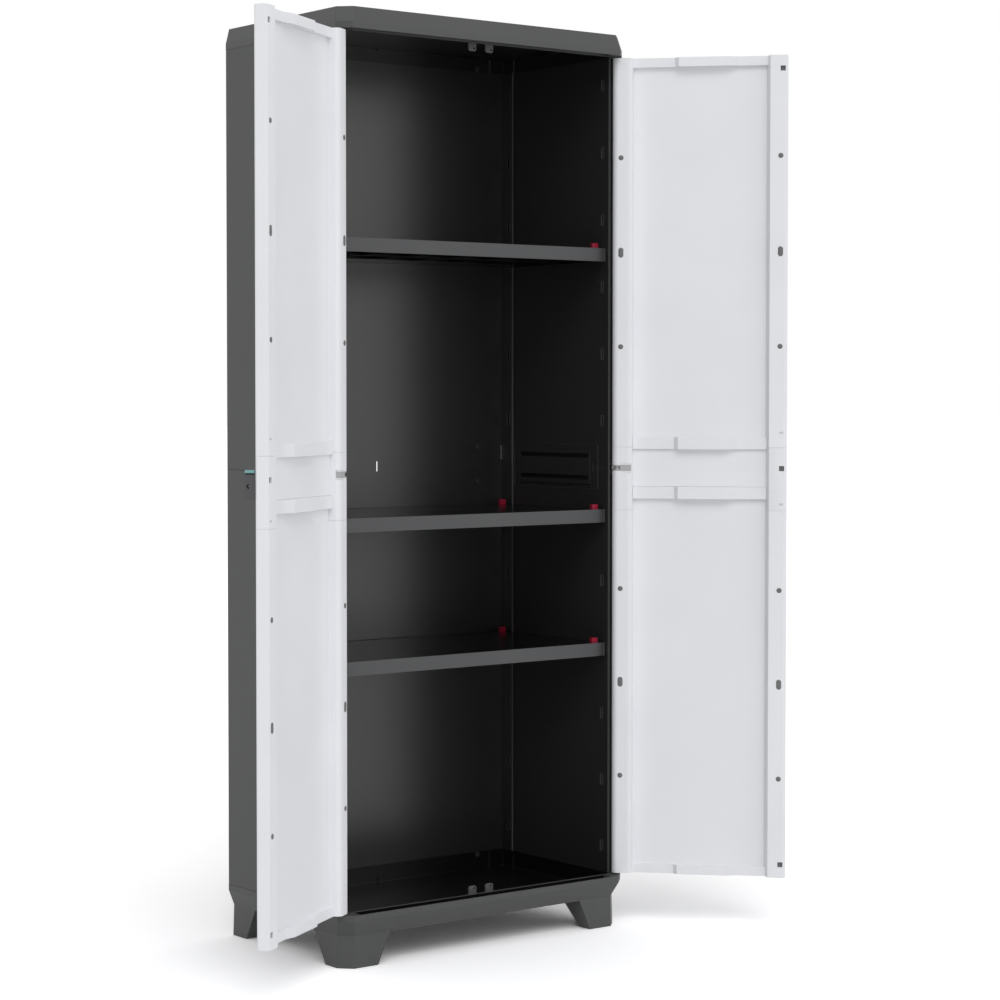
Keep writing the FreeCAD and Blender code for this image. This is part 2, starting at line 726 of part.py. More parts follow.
def make_back_panel(upper):
    """Half of the back: a sheet with flanges along the side walls and upright ribs behind."""
    body = new_body("back_panel_" + ("upper" if upper else "lower"))
    low = p.seam if upper else p.base_top
    height = p.seam - p.base_top
    outer = p.inner_side - p.fit_gap
    face = p.flange_face
    sheet_back = p.inner_back + p.resin_skin
    rib_back = sheet_back + p.back_rib_depth
    plan = sketch_at(body, "XY_Plane", low, "back_plan")
    outline(plan, [
        (-outer, p.flange_front), (-face, p.flange_front), (-face, p.inner_back),
        (face, p.inner_back), (face, p.flange_front), (outer, p.flange_front),
        (outer, rib_back), (face, rib_back), (face, sheet_back),
        (-face, sheet_back), (-face, rib_back), (-outer, rib_back)])
    pad(body, plan, height, 1, "sheet_and_flanges")
    rib = sketch_at(body, "XY_Plane", low, "rib_plan")
    left = -p.back_rib_spacing * (p.back_ribs - 1) / 2 - p.resin_skin / 2
    rectangle(rib, left, sheet_back, left + p.resin_skin, rib_back)
    rib = pad(body, rib, height, 1, "rib")
    repeat(body, rib, "X_Axis", p.back_rib_spacing, p.back_ribs, "ribs")

    away = 1 if upper else -1
    for side in (-1, 1):
        slot = sketch_at(body, "YZ_Plane", face * side, "clip_slot")
        cut_hole(slot, p.rear_slot, p.seam + p.slot_first * away, p.slot_width, p.slot_height)
        slot = pocket(body, slot, p.flange_thickness, side, "clip_slot_cut")
        repeat(body, slot, "Z_Axis", p.slot_pitch, p.slots_per_half, "clip_slots", away)
        if upper:
            extra = p.seam + p.slot_first + p.slot_pitch * p.top_shelf_step
            slot = sketch_at(body, "YZ_Plane", face * side, "extra_slot")
            cut_hole(slot, p.rear_slot, extra, p.slot_width, p.slot_height)
            pocket(body, slot, p.flange_thickness, side, "extra_slot_cut")

    holes = sketch_at(body, "XZ_Plane", p.inner_back, "sheet_holes")
    rectangle(holes, -p.seam_slot_width / 2, p.seam, p.seam_slot_width / 2,
              p.seam + p.seam_slot_reach * away)
    for side in (-1, 1):
        square(holes, p.back_peg_across * side, p.seam + p.peg_seam_offset * away, p.peg_half)
        if upper:
            light = (face - p.light_slot_inset) * side
            rectangle(holes, light, p.seam + p.light_slot_above, light + p.light_slot_width * side,
                      p.seam + p.light_slot_above + p.light_slot_height)
    pocket(body, holes, p.resin_skin, 1, "holes_through_the_sheet")
    return body


def make_back_pegs():
    """Snap pegs with square shanks that hold the back panels to the base and the roof."""
    body = new_body("back_pegs")
    heights = (
        p.base_top - p.peg_rim_offset, p.seam - p.peg_seam_offset,
        p.seam + p.peg_seam_offset, p.roof_bottom + p.peg_rim_offset)
    heads = sketch_at(body, "XZ_Plane", p.inner_back, "heads_face")
    shanks = sketch_at(body, "XZ_Plane", p.inner_back, "shanks_face")
    for height in heights:
        for side in (-1, 1):
            round_hole(heads, p.back_peg_across * side, height, p.peg_head_radius)
            square(shanks, p.back_peg_across * side, height, p.peg_half - p.pin_clearance)
    pad(body, heads, p.peg_head, -1, "heads")
    pad(body, shanks, p.peg_length - p.fit_gap, 1, "shanks")
    return body


def clip_rows():
    """Lists the rows of clips: the place along Y, the face that they hook into and its skin."""
    yield p.front_slot, p.inner_side, p.resin_skin
    yield p.rear_slot, p.flange_face, p.flange_thickness


def clip_inner(face):
    """Distance from the middle of the cabinet to the inner face of a clip's plate."""
    return face - p.fit_gap - p.clip_plate


def clip_peg_span():
    """Distances from the middle of the cabinet to the near and the far face of a clip's peg."""
    near = p.inner_side - p.clip_peg_inset
    return near, near + p.clip_peg_width


def make_shelf(name, slot_height):
    """Shelf: a plate with a deep lip, ribs beneath, and seats and peg holes for its clips."""
    body = new_body(name)
    top = slot_height + p.shelf_above_slot
    low = top - p.shelf_lip
    side = p.inner_side - p.shelf_side_gap
    rear_side = p.flange_face - p.shelf_side_gap
    front = p.wall_front + p.shelf_front_setback
    back = p.inner_back - p.shelf_back_gap
    step = p.flange_front - p.shelf_side_gap
    post = side - p.shelf_end_post
    nick = post - p.shelf_nick_width
    nick_rear = front + p.shelf_nick_depth
    plan = sketch_at(body, "XY_Plane", top, "shelf_plan")
    outline(plan, [
        (-side, front), (-post, front), (-post, nick_rear), (-nick, nick_rear), (-nick, front),
        (nick, front), (nick, nick_rear), (post, nick_rear), (post, front), (side, front),
        (side, step), (rear_side, step), (rear_side, back, p.shelf_corner),
        (-rear_side, back, p.shelf_corner), (-rear_side, step), (-side, step)])
    pad(body, plan, p.shelf_lip, -1, "slab")

    notches = sketch_at(body, "XY_Plane", low, "clip_notch_plan")
    seats = sketch_at(body, "XY_Plane", low, "clip_seat_plan")
    holes = sketch_at(body, "XY_Plane", low, "peg_hole_plan")
    plate_half = p.clip_width / 2 + p.clip_room
    arm_half = p.clip_arm_width / 2 + p.clip_room
    peg_near, peg_far = clip_peg_span()
    for along, face, _ in clip_rows():
        for hand in (-1, 1):
            inner = (clip_inner(face) - p.clip_room) * hand
            near = (peg_near - p.clip_room) * hand
            far = (peg_far + p.clip_room) * hand
            rectangle(notches, face * hand, along - plate_half, inner, along + plate_half)
            rectangle(seats, face * hand, along - arm_half, near, along + arm_half)
            rectangle(holes, near, along - arm_half, far, along + arm_half)
    pocket(body, notches, p.shelf_lip - p.resin_skin, 1, "clip_notches")
    pocket(body, seats, p.shelf_lip - p.clip_seat, 1, "clip_seats")
    pocket(body, holes, p.shelf_lip, 1, "peg_holes")

    half_span = side - p.shelf_margin
    cell_width = (half_span * 2 + p.resin_skin) / p.shelf_columns - p.resin_skin
    span = back - front - p.resin_skin * 2
    cell_depth = (span + p.resin_skin) / p.shelf_rows - p.resin_skin
    cell = sketch_at(body, "XY_Plane", low, "rib_cell")
    rectangle(cell, -half_span, front + p.resin_skin,
              cell_width - half_span, front + p.resin_skin + cell_depth)
    cell = pocket(body, cell, p.shelf_lip - p.resin_skin, 1, "rib_cell_cut")
    repeat_grid(body, cell, ("X_Axis", "Y_Axis"),
                (cell_width + p.resin_skin, cell_depth + p.resin_skin),
                (p.shelf_columns, p.shelf_rows), "rib_cells")
    ends = sketch_at(body, "XY_Plane", low, "end_cells")
    for hand in (-1, 1):
        rectangle(ends, (half_span + p.resin_skin) * hand, front + p.shelf_corner_block,
                  (side - p.resin_skin) * hand, back - p.shelf_corner_block)
    pocket(body, ends, p.shelf_lip - p.resin_skin, 1, "end_cells_cut")
    return body


def make_clips(name, slot_height):
    """Four clips: hook and plate at the wall, an arm under the shelf and a peg up through it."""
    body = new_body(name)
    top = slot_height + p.shelf_above_slot
    arm_top = top - p.clip_seat - p.fit_gap
    peg_top = top + p.clip_peg_rise
    peg_near, peg_far = clip_peg_span()
    for along, face, skin in clip_rows():
        plates = sketch_at(body, "XZ_Plane", along - p.clip_width / 2, "plate_profile")
        arms = sketch_at(body, "XZ_Plane", along - p.clip_arm_width / 2, "arm_profile")
        for hand in (-1, 1):
            inner = clip_inner(face) * hand
            near, far = peg_near * hand, peg_far * hand
            rectangle(plates, (face - p.fit_gap) * hand, top - p.clip_drop,
                      inner, top - p.clip_plate_top)
            outline(arms, [
                (inner, top - p.clip_drop), (inner, arm_top), (far, arm_top), (far, peg_top),
                (near, peg_top), (near, arm_top - p.clip_arm)])
        pad(body, plates, p.clip_width, 1, "plates")
        pad(body, arms, p.clip_arm_width, 1, "arms_and_pegs")
        grip = p.slot_width / 2 - p.fit_gap
        reach = p.clip_hook_height / 2
        for hand in (-1, 1):
            hook = sketch_at(body, "YZ_Plane", (face - p.fit_gap) * hand, "hook_face")
            rectangle(hook, along - grip, slot_height - reach, along + grip, slot_height + reach)
            pad(body, hook, skin + p.fit_gap, hand, "hook")
    return body


def make_catches(name, rim, toward):
    """Pair of catches behind a sill, which the closed doors rest against."""
    body = new_body(name)
    face = sketch_at(body, "XZ_Plane", p.sill_rear, "catch_face")
    free = as_size(rim) - p.catch_reach * toward
    seat = as_size(rim) + p.catch_seat * toward
    half = p.catch_width / 2
    for side in (-1, 1):
        middle = p.catch_across * side
        outline(face, [
            (middle - half, seat), (middle + half, seat),
            (middle + half, free, p.catch_round), (middle - half, free, p.catch_round)])
        round_hole(face, middle + half - p.catch_hole_inset,
                   free + p.catch_hole_inset * toward, p.catch_hole_radius)
    pad(body, face, p.catch_thickness, 1, "catches")
    return body


def make_hinge_bracket(side):
    """Wall half of a middle hinge: an eye on an arm, with a foot in the wall's front channel."""
    body = new_body(("right" if side > 0 else "left") + "_hinge_bracket")
    half = p.bracket_arm_width / 2
    middle = p.pivot_across * side
    channel = p.wall_front + p.wall_channel_depth - p.fit_gap
    arm = sketch_at(body, "XY_Plane", p.seam - p.bracket_arm_height / 2, "arm_plan")
    rectangle(arm, middle - half, p.pivot_along, middle + half, channel)
    pad(body, arm, p.bracket_arm_height, 1, "arm")
    eye = sketch_at(body, "XY_Plane", p.knuckle_low, "eye_plan")
    round_hole(eye, middle, p.pivot_along, p.knuckle_radius)
    pad(body, eye, p.knuckle_height, 1, "eye")
    foot = sketch_at(body, "XY_Plane", p.seam - p.bracket_foot_height / 2, "foot_plan")
    inner = (p.inner_side + p.wall_inner_lip + p.fit_gap) * side
    outer = (p.side - p.resin_skin - p.fit_gap) * side
    rectangle(foot, inner, p.wall_front + p.fit_gap, outer, channel)
    pad(body, foot, p.bracket_foot_height, 1, "foot")
    hole = sketch_at(body, "XY_Plane", p.knuckle_low, "pin_hole_plan")
    round_hole(hole, middle, p.pivot_along, p.hole_radius)
    pocket(body, hole, p.knuckle_height, 1, "pin_hole")
    return body


def door_body(side, name):
    """Starts a piece of a door, whose own origin lies on the pivot axis."""
    body = new_body(("right" if side > 0 else "left") + "_" + name)
    angle = p.right_open_angle if side > 0 else -p.left_open_angle
    place = FreeCAD.Vector(p.pivot_across.number * side, p.pivot_along.number, 0)
    turn = FreeCAD.Rotation(FreeCAD.Vector(0, 0, 1), angle.number)
    body.Placement = FreeCAD.Placement(place, turn)
    body.setExpression("Placement.Base.x", (p.pivot_across * side).formula)
    body.setExpression("Placement.Base.y", p.pivot_along.formula)
    body.setExpression("Placement.Rotation.Angle", angle.formula)
    return body


def leaf_plan(sketch, side, corners):
    """Draws a plan given as (distance from the axis, distance towards the inside)."""
    outline(sketch, [(as_size(corner[0]) * -side,) + tuple(corner[1:]) for corner in corners])


def hinge_edge():
    """Corners of the hinge edge, rounded about the axis and cut back at the outer skin."""
    tip = p.door_inner * (-1 - ROOT_TWO)
    skin = p.door_outer - p.door_inner * ROOT_TWO
    return (tip, p.door_inner, p.door_inner), (skin, -p.door_outer)


def edge_at(level):
    """Distance from the axis at which the cut hinge edge reaches a level."""
    return -level - p.door_inner * ROOT_TWO


def ramp_at(foot, run, level):
    """Distance from the axis of a stile's ramp at a level above the panel."""
    return foot + run * ((level - p.panel) / (p.door_inner - p.panel))


def hinge_stile_core(gap):
    """Section of the hollow in the hinge stile, drawn in by a gap."""
    high = p.door_inner - p.resin_skin - gap
    low = p.panel + gap
    wall = p.stile_wall + gap
    return [
        (ramp_at(p.hinge_foot, -p.hinge_ramp, low) - wall, low),
        (ramp_at(p.hinge_foot, -p.hinge_ramp, high) - wall, high, p.hinge_round - wall),
        (gap - p.hinge_core_reach, high), (p.resin_skin + gap, low)]


def free_stile_core(gap):
    """Section of the hollow in the free stile, drawn in by a gap."""
    high = p.door_inner - p.resin_skin - gap
    low = p.panel + gap
    wall = p.stile_wall + gap
    edge = p.door_reach - p.resin_skin - gap
    return [
        (ramp_at(p.free_foot, p.free_ramp, low) + wall, low),
        (edge - p.free_outer_cut + p.resin_skin, low),
        (edge, low + p.free_outer_cut - p.resin_skin),
        (edge, high - p.free_inner_cut + p.resin_skin),
        (edge - p.free_inner_cut + p.resin_skin, high),
        (ramp_at(p.free_foot, p.free_ramp, high) + wall, high)]


def rail_section(gap):
    """Section along a rail, with its raised pad. A gap keeps its ends off the stiles."""
    low = p.panel
    face = p.panel + p.rail_thickness
    raised = face + p.pad_rise
    pad_end = p.pad_start + p.pad_near_ramp + p.pad_width
    return [
        (p.hinge_foot + gap, low),
        (ramp_at(p.hinge_foot, -p.hinge_ramp, face) + gap, face),
        (p.pad_start, face), (p.pad_start + p.pad_near_ramp, raised),
        (pad_end, raised), (pad_end + p.pad_far_ramp, face),
        (ramp_at(p.free_foot, p.free_ramp, face) - gap, face),
        (p.free_foot - gap, low)]


def make_door_half(side, upper):
    """Half of a door: outer skin, two hollow stiles and two cross rails with raised pads."""
    body = door_body(side, "door_" + ("upper" if upper else "lower"))
    away = 1 if upper else -1
    end = p.door_top if upper else p.door_bottom
    shoulder = p.seam + p.coupler_above if upper else p.seam - p.coupler_below
    stile_length = (end - shoulder) * away
    edge, skin_corner = hinge_edge()
    reach = p.door_reach

    plan = sketch_at(body, "XY_Plane", shoulder, "door_section")
    leaf_plan(plan, side, [
        skin_corner, (reach - p.free_outer_cut, -p.door_outer),
        (reach, p.free_outer_cut - p.door_outer), (reach, p.door_inner - p.free_inner_cut),
        (reach - p.free_inner_cut, p.door_inner), (p.free_face, p.door_inner),
        (p.free_foot, p.panel), (p.hinge_foot, p.panel),
        (p.hinge_stile, p.door_inner, p.hinge_round), edge])
    pad(body, plan, stile_length, away, "skin_and_stiles")
    skin = sketch_at(body, "XY_Plane", shoulder, "skin_section")
    leaf_plan(skin, side, [
        skin_corner, (reach - p.free_outer_cut, -p.door_outer),
        (reach - p.free_outer_cut + p.resin_skin, p.panel), (edge_at(p.panel), p.panel)])
    pad(body, skin, (shoulder - p.seam) * away, -away, "skin_behind_the_coupler")

    end_rail = sketch_at(body, "XY_Plane", end, "end_rail_section")
    leaf_plan(end_rail, side, rail_section(-p.resin_skin))
    pad(body, end_rail, p.end_rail_height, -away, "end_rail")
    seam_rail = sketch_at(body, "XY_Plane", p.seam + p.rail_seam_offset * away, "seam_rail_section")
    leaf_plan(seam_rail, side, rail_section(p.fit_gap))
    pad(body, seam_rail, p.rail_height, away, "seam_rail")

    cores = sketch_at(body, "XY_Plane", shoulder, "stile_hollows")
    leaf_plan(cores, side, hinge_stile_core(0))
    leaf_plan(cores, side, free_stile_core(0))
    pocket(body, cores, stile_length - p.stile_end, away, "hollow_stiles")
    pin = sketch_at(body, "XY_Plane", end, "pin_hole_plan")
    round_hole(pin, 0, 0, p.hole_radius)
    pocket(body, pin, p.pin_in_door + p.pin_end_room, -away, "pin_hole")

    pegs = sketch_at(body, "XZ_Plane", p.door_inner, "peg_holes")
    draw_stile_pegs(pegs, side, away, 0)
    pocket(body, pegs, p.resin_skin, -1, "peg_holes_cut")
    hole = sketch_at(body, "XZ_Plane", p.door_inner, "square_hole")
    square(hole, (reach - p.square_hole_inset) * -side, end - p.square_hole_end * away,
           p.square_hole / 2)
    pocket(body, hole, p.square_hole_depth, -1, "square_hole_cut")
    notch = sketch_at(body, "XY_Plane", p.seam, "hinge_notch")
    across = (p.door_inner + p.fit_gap * 2) * side
    rectangle(notch, across, -p.door_outer - p.cut_over,
              -(p.leaf_start + p.cut_over) * side, p.panel)
    pocket(body, notch, p.leaf_height / 2 + p.fit_gap, away, "hinge_notch_cut")
    return body


def draw_stile_pegs(sketch, side, away, gap):
    """Draws the round and the long pegs of half a door, on both of its stiles."""
    radius = p.stile_peg_radius - gap
    for place in (p.hinge_peg_across, p.door_reach - p.free_peg_inset):
        across = place * -side
        round_hole(sketch, across, p.seam + p.stile_peg_far * away, radius)
        round_hole(sketch, across, p.seam + p.stile_peg_near * away, radius)
        long_hole(sketch, across, p.seam + p.stile_peg_long * away,
                  radius * 2, p.long_peg_height - gap * 2)


def make_door_pegs(side):
    """Snap pegs in the stiles of one door."""
    body = door_body(side, "door_pegs")
    face = sketch_at(body, "XZ_Plane", p.door_inner + p.stile_peg_proud, "pegs_face")
    for away in (-1, 1):
        draw_stile_pegs(face, side, away, p.pin_clearance)
    pad(body, face, p.stile_peg_length, -1, "pegs")
    return body


def make_coupler(side):
    """Coupler between the door halves: two stile blocks with spigots, and a plate between."""
    body = door_body(side, "door_coupler")
    low = p.seam - p.coupler_below + p.fit_gap
    height = p.coupler_above + p.coupler_below - p.fit_gap * 2
    edge, _ = hinge_edge()
    reach = p.door_reach
    skin_edge = reach - p.free_outer_cut + p.resin_skin
    blocks = sketch_at(body, "XY_Plane", low, "stile_blocks")
    leaf_plan(blocks, side, [
        (edge_at(p.panel), p.panel), (p.hinge_foot, p.panel),
        (p.hinge_stile, p.door_inner, p.hinge_round), edge])
    leaf_plan(blocks, side, [
        (p.free_foot, p.panel), (skin_edge, p.panel), (reach, p.free_outer_cut - p.door_outer),
        (reach, p.door_inner - p.free_inner_cut), (reach - p.free_inner_cut, p.door_inner),
        (p.free_face, p.door_inner)])
    pad(body, blocks, height, 1, "stile_block_pads")
    plate_half = p.rail_seam_offset - p.fit_gap
    plate = sketch_at(body, "XY_Plane", p.seam - plate_half, "plate_section")
    leaf_plan(plate, side, [
        (p.hinge_foot - p.resin_skin, p.panel), (p.free_foot + p.resin_skin, p.panel),
        (p.free_foot + p.resin_skin, p.panel + p.coupler_plate),
        (p.hinge_foot - p.resin_skin, p.panel + p.coupler_plate)])
    pad(body, plate, plate_half * 2, 1, "plate")
    for level, toward in ((low, -1), (low + height, 1)):
        spigots = sketch_at(body, "XY_Plane", level, "spigots")
        leaf_plan(spigots, side, hinge_stile_core(p.fit_gap))
        leaf_plan(spigots, side, free_stile_core(p.fit_gap))
        pad(body, spigots, p.spigot_length, toward, "spigot_pads")

    notch_low = p.leaf_low - p.fit_gap
    notch_height = p.leaf_height + p.fit_gap * 2
    notch = sketch_at(body, "XY_Plane", notch_low, "hinge_notch")
    across = (p.door_inner + p.fit_gap * 2) * side
    rectangle(notch, across, p.panel - p.cut_over,
              -(p.leaf_start + p.cut_over) * side, p.door_inner + p.cut_over)
    pocket(body, notch, notch_height, 1, "hinge_notch_cut")
    seat = sketch_at(body, "XY_Plane", notch_low, "leaf_seat")
    rectangle(seat, -p.leaf_start * side, p.door_inner - p.leaf_thickness - p.fit_gap,
              -p.hinge_foot * side, p.door_inner + p.cut_over)
    pocket(body, seat, notch_height, 1, "leaf_seat_cut")
    hole = sketch_at(body, "XZ_Plane", p.door_inner, "square_hole")
    square(hole, (reach - p.square_hole_inset) * -side, p.seam, p.square_hole / 2)
    pocket(body, hole, p.square_hole_depth, -1, "square_hole_cut")
    return body


def make_door_pins(side):
    """Pivot pins of one door, each with a collar that keeps the door off the rim."""
    body = door_body(side, "door_pins")
    for end, away in ((p.door_bottom, -1), (p.door_top, 1)):
        pin = sketch_at(body, "XY_Plane", end - p.pin_in_door * away, "pin_plan")
        round_hole(pin, 0, 0, p.pin_radius)
        pad(body, pin, p.pin_in_door + p.door_end_gap + p.pin_in_rim, away, "pin")
        collar = sketch_at(body, "XY_Plane", end, "collar_plan")
        round_hole(collar, 0, 0, p.pin_collar_radius)
        pad(body, collar, p.door_end_gap - p.fit_gap, away, "collar")
    return body


def make_hinge_leaf(side):
    """Door half of a middle hinge: a leaf let into the stile, two ears and the pin."""
    body = door_body(side, "hinge_leaf")
    leaf = sketch_at(body, "XY_Plane", p.leaf_low, "leaf_plan")
    rectangle(leaf, -p.leaf_start * side, p.door_inner - p.leaf_thickness,
              -(p.leaf_start + p.leaf_length) * side, p.door_inner)
    pad(body, leaf, p.leaf_height, 1, "leaf")
    for low in (p.leaf_low, p.leaf_low + p.leaf_height - p.ear_height):
        ear = sketch_at(body, "XY_Plane", low, "ear_plan")
        round_hole(ear, 0, 0, p.knuckle_radius)
        pad(body, ear, p.ear_height, 1, "ear")
        web = sketch_at(body, "XY_Plane", low, "web_plan")
        rectangle(web, 0, 0, -(p.leaf_start + p.cut_over) * side, p.knuckle_radius)
        pad(body, web, p.ear_height, 1, "web")
    pin = sketch_at(body, "XY_Plane", p.leaf_low, "pin_plan")
    round_hole(pin, 0, 0, p.pin_radius)
    pad(body, pin, p.leaf_height, 1, "pin")
    return body


def make_handle(side):
    """Handle: a plate on the outer skin and a tab with a groove and an eye for a padlock."""
    body = door_body(side, "handle")
    low = p.seam - p.handle_low
    high = p.seam + p.handle_high
    edge = p.door_reach - p.handle_edge_gap
    skin = -p.door_outer
    plate = sketch_at(body, "XZ_Plane", skin, "plate_face")
    rectangle(plate, -edge * side, low, -(edge - p.handle_plate_width) * side, high)
    pad(body, plate, p.handle_plate, -1, "plate")
    tab_edge = (p.door_reach - p.tab_inset) * -side
    tab = sketch_at(body, "YZ_Plane", tab_edge, "tab_face")
    tip = skin - p.tab_reach
    tab_high = high - p.strip_height
    outline(tab, [
        (skin, low), (skin, tab_high), (tip, tab_high, p.tab_round), (tip, low, p.tab_round)])
    round_hole(tab, skin - p.lock_hole_out, tab_high - p.lock_hole_below - p.lock_hole_radius,
               p.lock_hole_radius)
    pad(body, tab, p.tab_thickness, side, "tab")
    groove = sketch_at(body, "YZ_Plane", tab_edge, "groove_face")
    rectangle(groove, tip, tab_high - p.groove_height, skin - p.handle_plate, tab_high)
    pocket(body, groove, p.groove_depth, side, "groove_under_the_strip")
    return body


def make_handle_strip(side):
    """Coloured strip that caps the top of a handle's tab."""
    body = door_body(side, "handle_strip")
    low = p.seam + p.handle_high - p.strip_height
    near = -p.door_outer - p.handle_plate
    middle = (p.door_reach - p.tab_inset - p.tab_thickness / 2) * -side
    half = p.tab_thickness / 2 + p.strip_overhang
    plan = sketch_at(body, "XY_Plane", low, "strip_plan")
    far = near - p.strip_reach
    outline(plan, [
        (middle - half, near), (middle - half, far, p.strip_round),
        (middle + half, far, p.strip_round), (middle + half, near)])
    pad(body, plan, p.strip_height, 1, "strip")
    return body


def make_cabinet():
    """Builds every sub-part and returns them."""
    bodies = [make_base(), make_roof()]
    for side in (-1, 1):
        bodies += [make_wall(side, False), make_wall(side, True), make_wall_joiner(side)]
        bodies.append(make_hinge_bracket(side))
    bodies += [make_back_panel(False), make_back_panel(True), make_back_pegs()]
    shelves = (
        ("shelf_top", p.seam + p.slot_first + p.slot_pitch * p.top_shelf_step),
        ("shelf_middle", p.seam - p.slot_first - p.slot_pitch * p.middle_shelf_step),
        ("shelf_bottom", p.seam - p.slot_first - p.slot_pitch * p.bottom_shelf_step))
    for name, slot in shelves:
        bodies += [make_shelf(name, slot), make_clips(name + "_clips", slot)]
    bodies.append(make_catches("roof_catches", p.roof_bottom, 1))
    bodies.append(make_catches("base_catches", p.base_top, -1))
    for side in (-1, 1):
        bodies += [make_door_half(side, False), make_door_half(side, True), make_coupler(side)]
        bodies += [make_door_pegs(side), make_door_pins(side), make_hinge_leaf(side)]
        bodies += [make_handle(side), make_handle_strip(side)]
    return bodies


def check_and_export(bodies):
    """Stops on any failed feature or bad solid, then writes one file per sub-part."""
    failed = [item.Name for item in doc.Objects if {"Invalid", "Error"} & set(item.State)]
    if failed:
        raise RuntimeError("failed features: " + ", ".join(failed))
    for body in bodies:
        if body.Shape.isNull() or not body.Shape.isValid():
            raise RuntimeError("bad shape: " + body.Label)
    os.makedirs("parts", exist_ok=True)
    for body in bodies:
        body.Shape.exportStep(os.path.join("parts", body.Label + ".step"))
        solids = len(body.Shape.Solids)
        print(f"{body.Label}: {solids} solid(s), {body.Shape.Volume / 1000:.1f} cm3")


p = Places(fill_sheet())
cabinet = make_cabinet()
doc.recompute()
check_and_export(cabinet)
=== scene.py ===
"""Looks of a tall resin garden cabinet with its white doors open, on a white studio floor.

Places and sizes are in metres: X runs across the cabinet, Y from front to back, and Z up."""
import json
import math
import bmesh
import bpy
import numpy as np
from mathutils import Euler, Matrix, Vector


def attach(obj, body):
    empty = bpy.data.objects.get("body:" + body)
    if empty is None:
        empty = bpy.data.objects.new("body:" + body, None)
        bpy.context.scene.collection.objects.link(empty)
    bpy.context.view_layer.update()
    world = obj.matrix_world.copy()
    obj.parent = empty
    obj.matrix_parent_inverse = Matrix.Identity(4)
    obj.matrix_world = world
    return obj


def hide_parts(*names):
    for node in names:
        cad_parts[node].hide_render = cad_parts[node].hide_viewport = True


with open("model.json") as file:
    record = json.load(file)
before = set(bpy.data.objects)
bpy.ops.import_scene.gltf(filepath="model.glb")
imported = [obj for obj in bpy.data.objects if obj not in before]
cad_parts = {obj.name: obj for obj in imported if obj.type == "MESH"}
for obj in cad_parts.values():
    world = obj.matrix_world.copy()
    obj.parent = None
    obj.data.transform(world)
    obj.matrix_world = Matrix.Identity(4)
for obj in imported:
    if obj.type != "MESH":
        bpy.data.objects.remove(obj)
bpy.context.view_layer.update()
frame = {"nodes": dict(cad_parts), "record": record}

bpy.context.scene.view_settings.view_transform = "Standard"

# Camera. It stands to the left of the cabinet and a little above its middle, some five metres
# away, and looks very slightly down, as the photograph's view does.
CAMERA_PLACE = (-2.9191, -3.9924, 1.0601)
CAMERA_TURN = math.radians(37.312)
CAMERA_DIP = math.radians(2.061)
SENSOR = 36.0
LENS_OF_FRAME = 2.5324
SHIFT_ACROSS = 0.0201
SHIFT_UP = -0.0182
camera_data = bpy.data.cameras.new("studio_camera")
camera_data.sensor_width = SENSOR
camera_data.lens = SENSOR * LENS_OF_FRAME
camera_data.shift_x = SHIFT_ACROSS
camera_data.shift_y = SHIFT_UP
camera = bpy.data.objects.new("studio_camera", camera_data)
camera.location = CAMERA_PLACE
camera.rotation_euler = Euler((math.pi / 2 - CAMERA_DIP, 0, -CAMERA_TURN))
bpy.context.scene.collection.objects.link(camera)
bpy.context.scene.camera = camera

# Studio. White floor paper that keeps the cabinet's soft shadow, an even white sky, one broad
# soft lamp from above the camera, and a weaker one low in front.
FLOOR_REACH = 60.0
SKY_LIGHT = 0.66
SKY_SHOWN = 1.0
PAPER_COLOUR = 0.86
PAPER_SHOWN = 1.34
PAPER_COOLNESS = 1.01


def worked_out(tree, operation, first, second):
    """Output of a Math node that joins a socket with another socket or with a number."""
    node = tree.nodes.new("ShaderNodeMath")
    node.operation = operation
    tree.links.new(first, node.inputs[0])
    if isinstance(second, float):
        node.inputs[1].default_value = second
    else:
        tree.links.new(second, node.inputs[1])
    return node.outputs[0]


def looked_at(tree):
    """A factor of 1 where a ray comes from the camera, a gloss or clear glass, else 0."""
    ray = tree.nodes.new("ShaderNodeLightPath").outputs
    seen = worked_out(tree, "MAXIMUM", ray["Is Camera Ray"], ray["Is Glossy Ray"])
    return worked_out(tree, "MAXIMUM", seen, ray["Is Transmission Ray"])


def lit_and_shown(tree, lighting, showing, output):
    """Let one shader light the cabinet, and the other be what is seen."""
    mix = tree.nodes.new("ShaderNodeMixShader")
    tree.links.new(looked_at(tree), mix.inputs[0])
    tree.links.new(lighting.outputs[0], mix.inputs[1])
    tree.links.new(showing.outputs[0], mix.inputs[2])
    tree.links.new(mix.outputs[0], tree.nodes[output].inputs[0])


sky = bpy.data.worlds.new("studio_sky")
sky.use_nodes = True
bpy.context.scene.world = sky
tree = sky.node_tree
lighting = tree.nodes["Background"]
showing = tree.nodes.new("ShaderNodeBackground")
for background, strength in ((lighting, SKY_LIGHT), (showing, SKY_SHOWN)):
    background.inputs["Color"].default_value = (1, 1, 1, 1)
    background.inputs["Strength"].default_value = strength
lit_and_shown(tree, lighting, showing, "World Output")

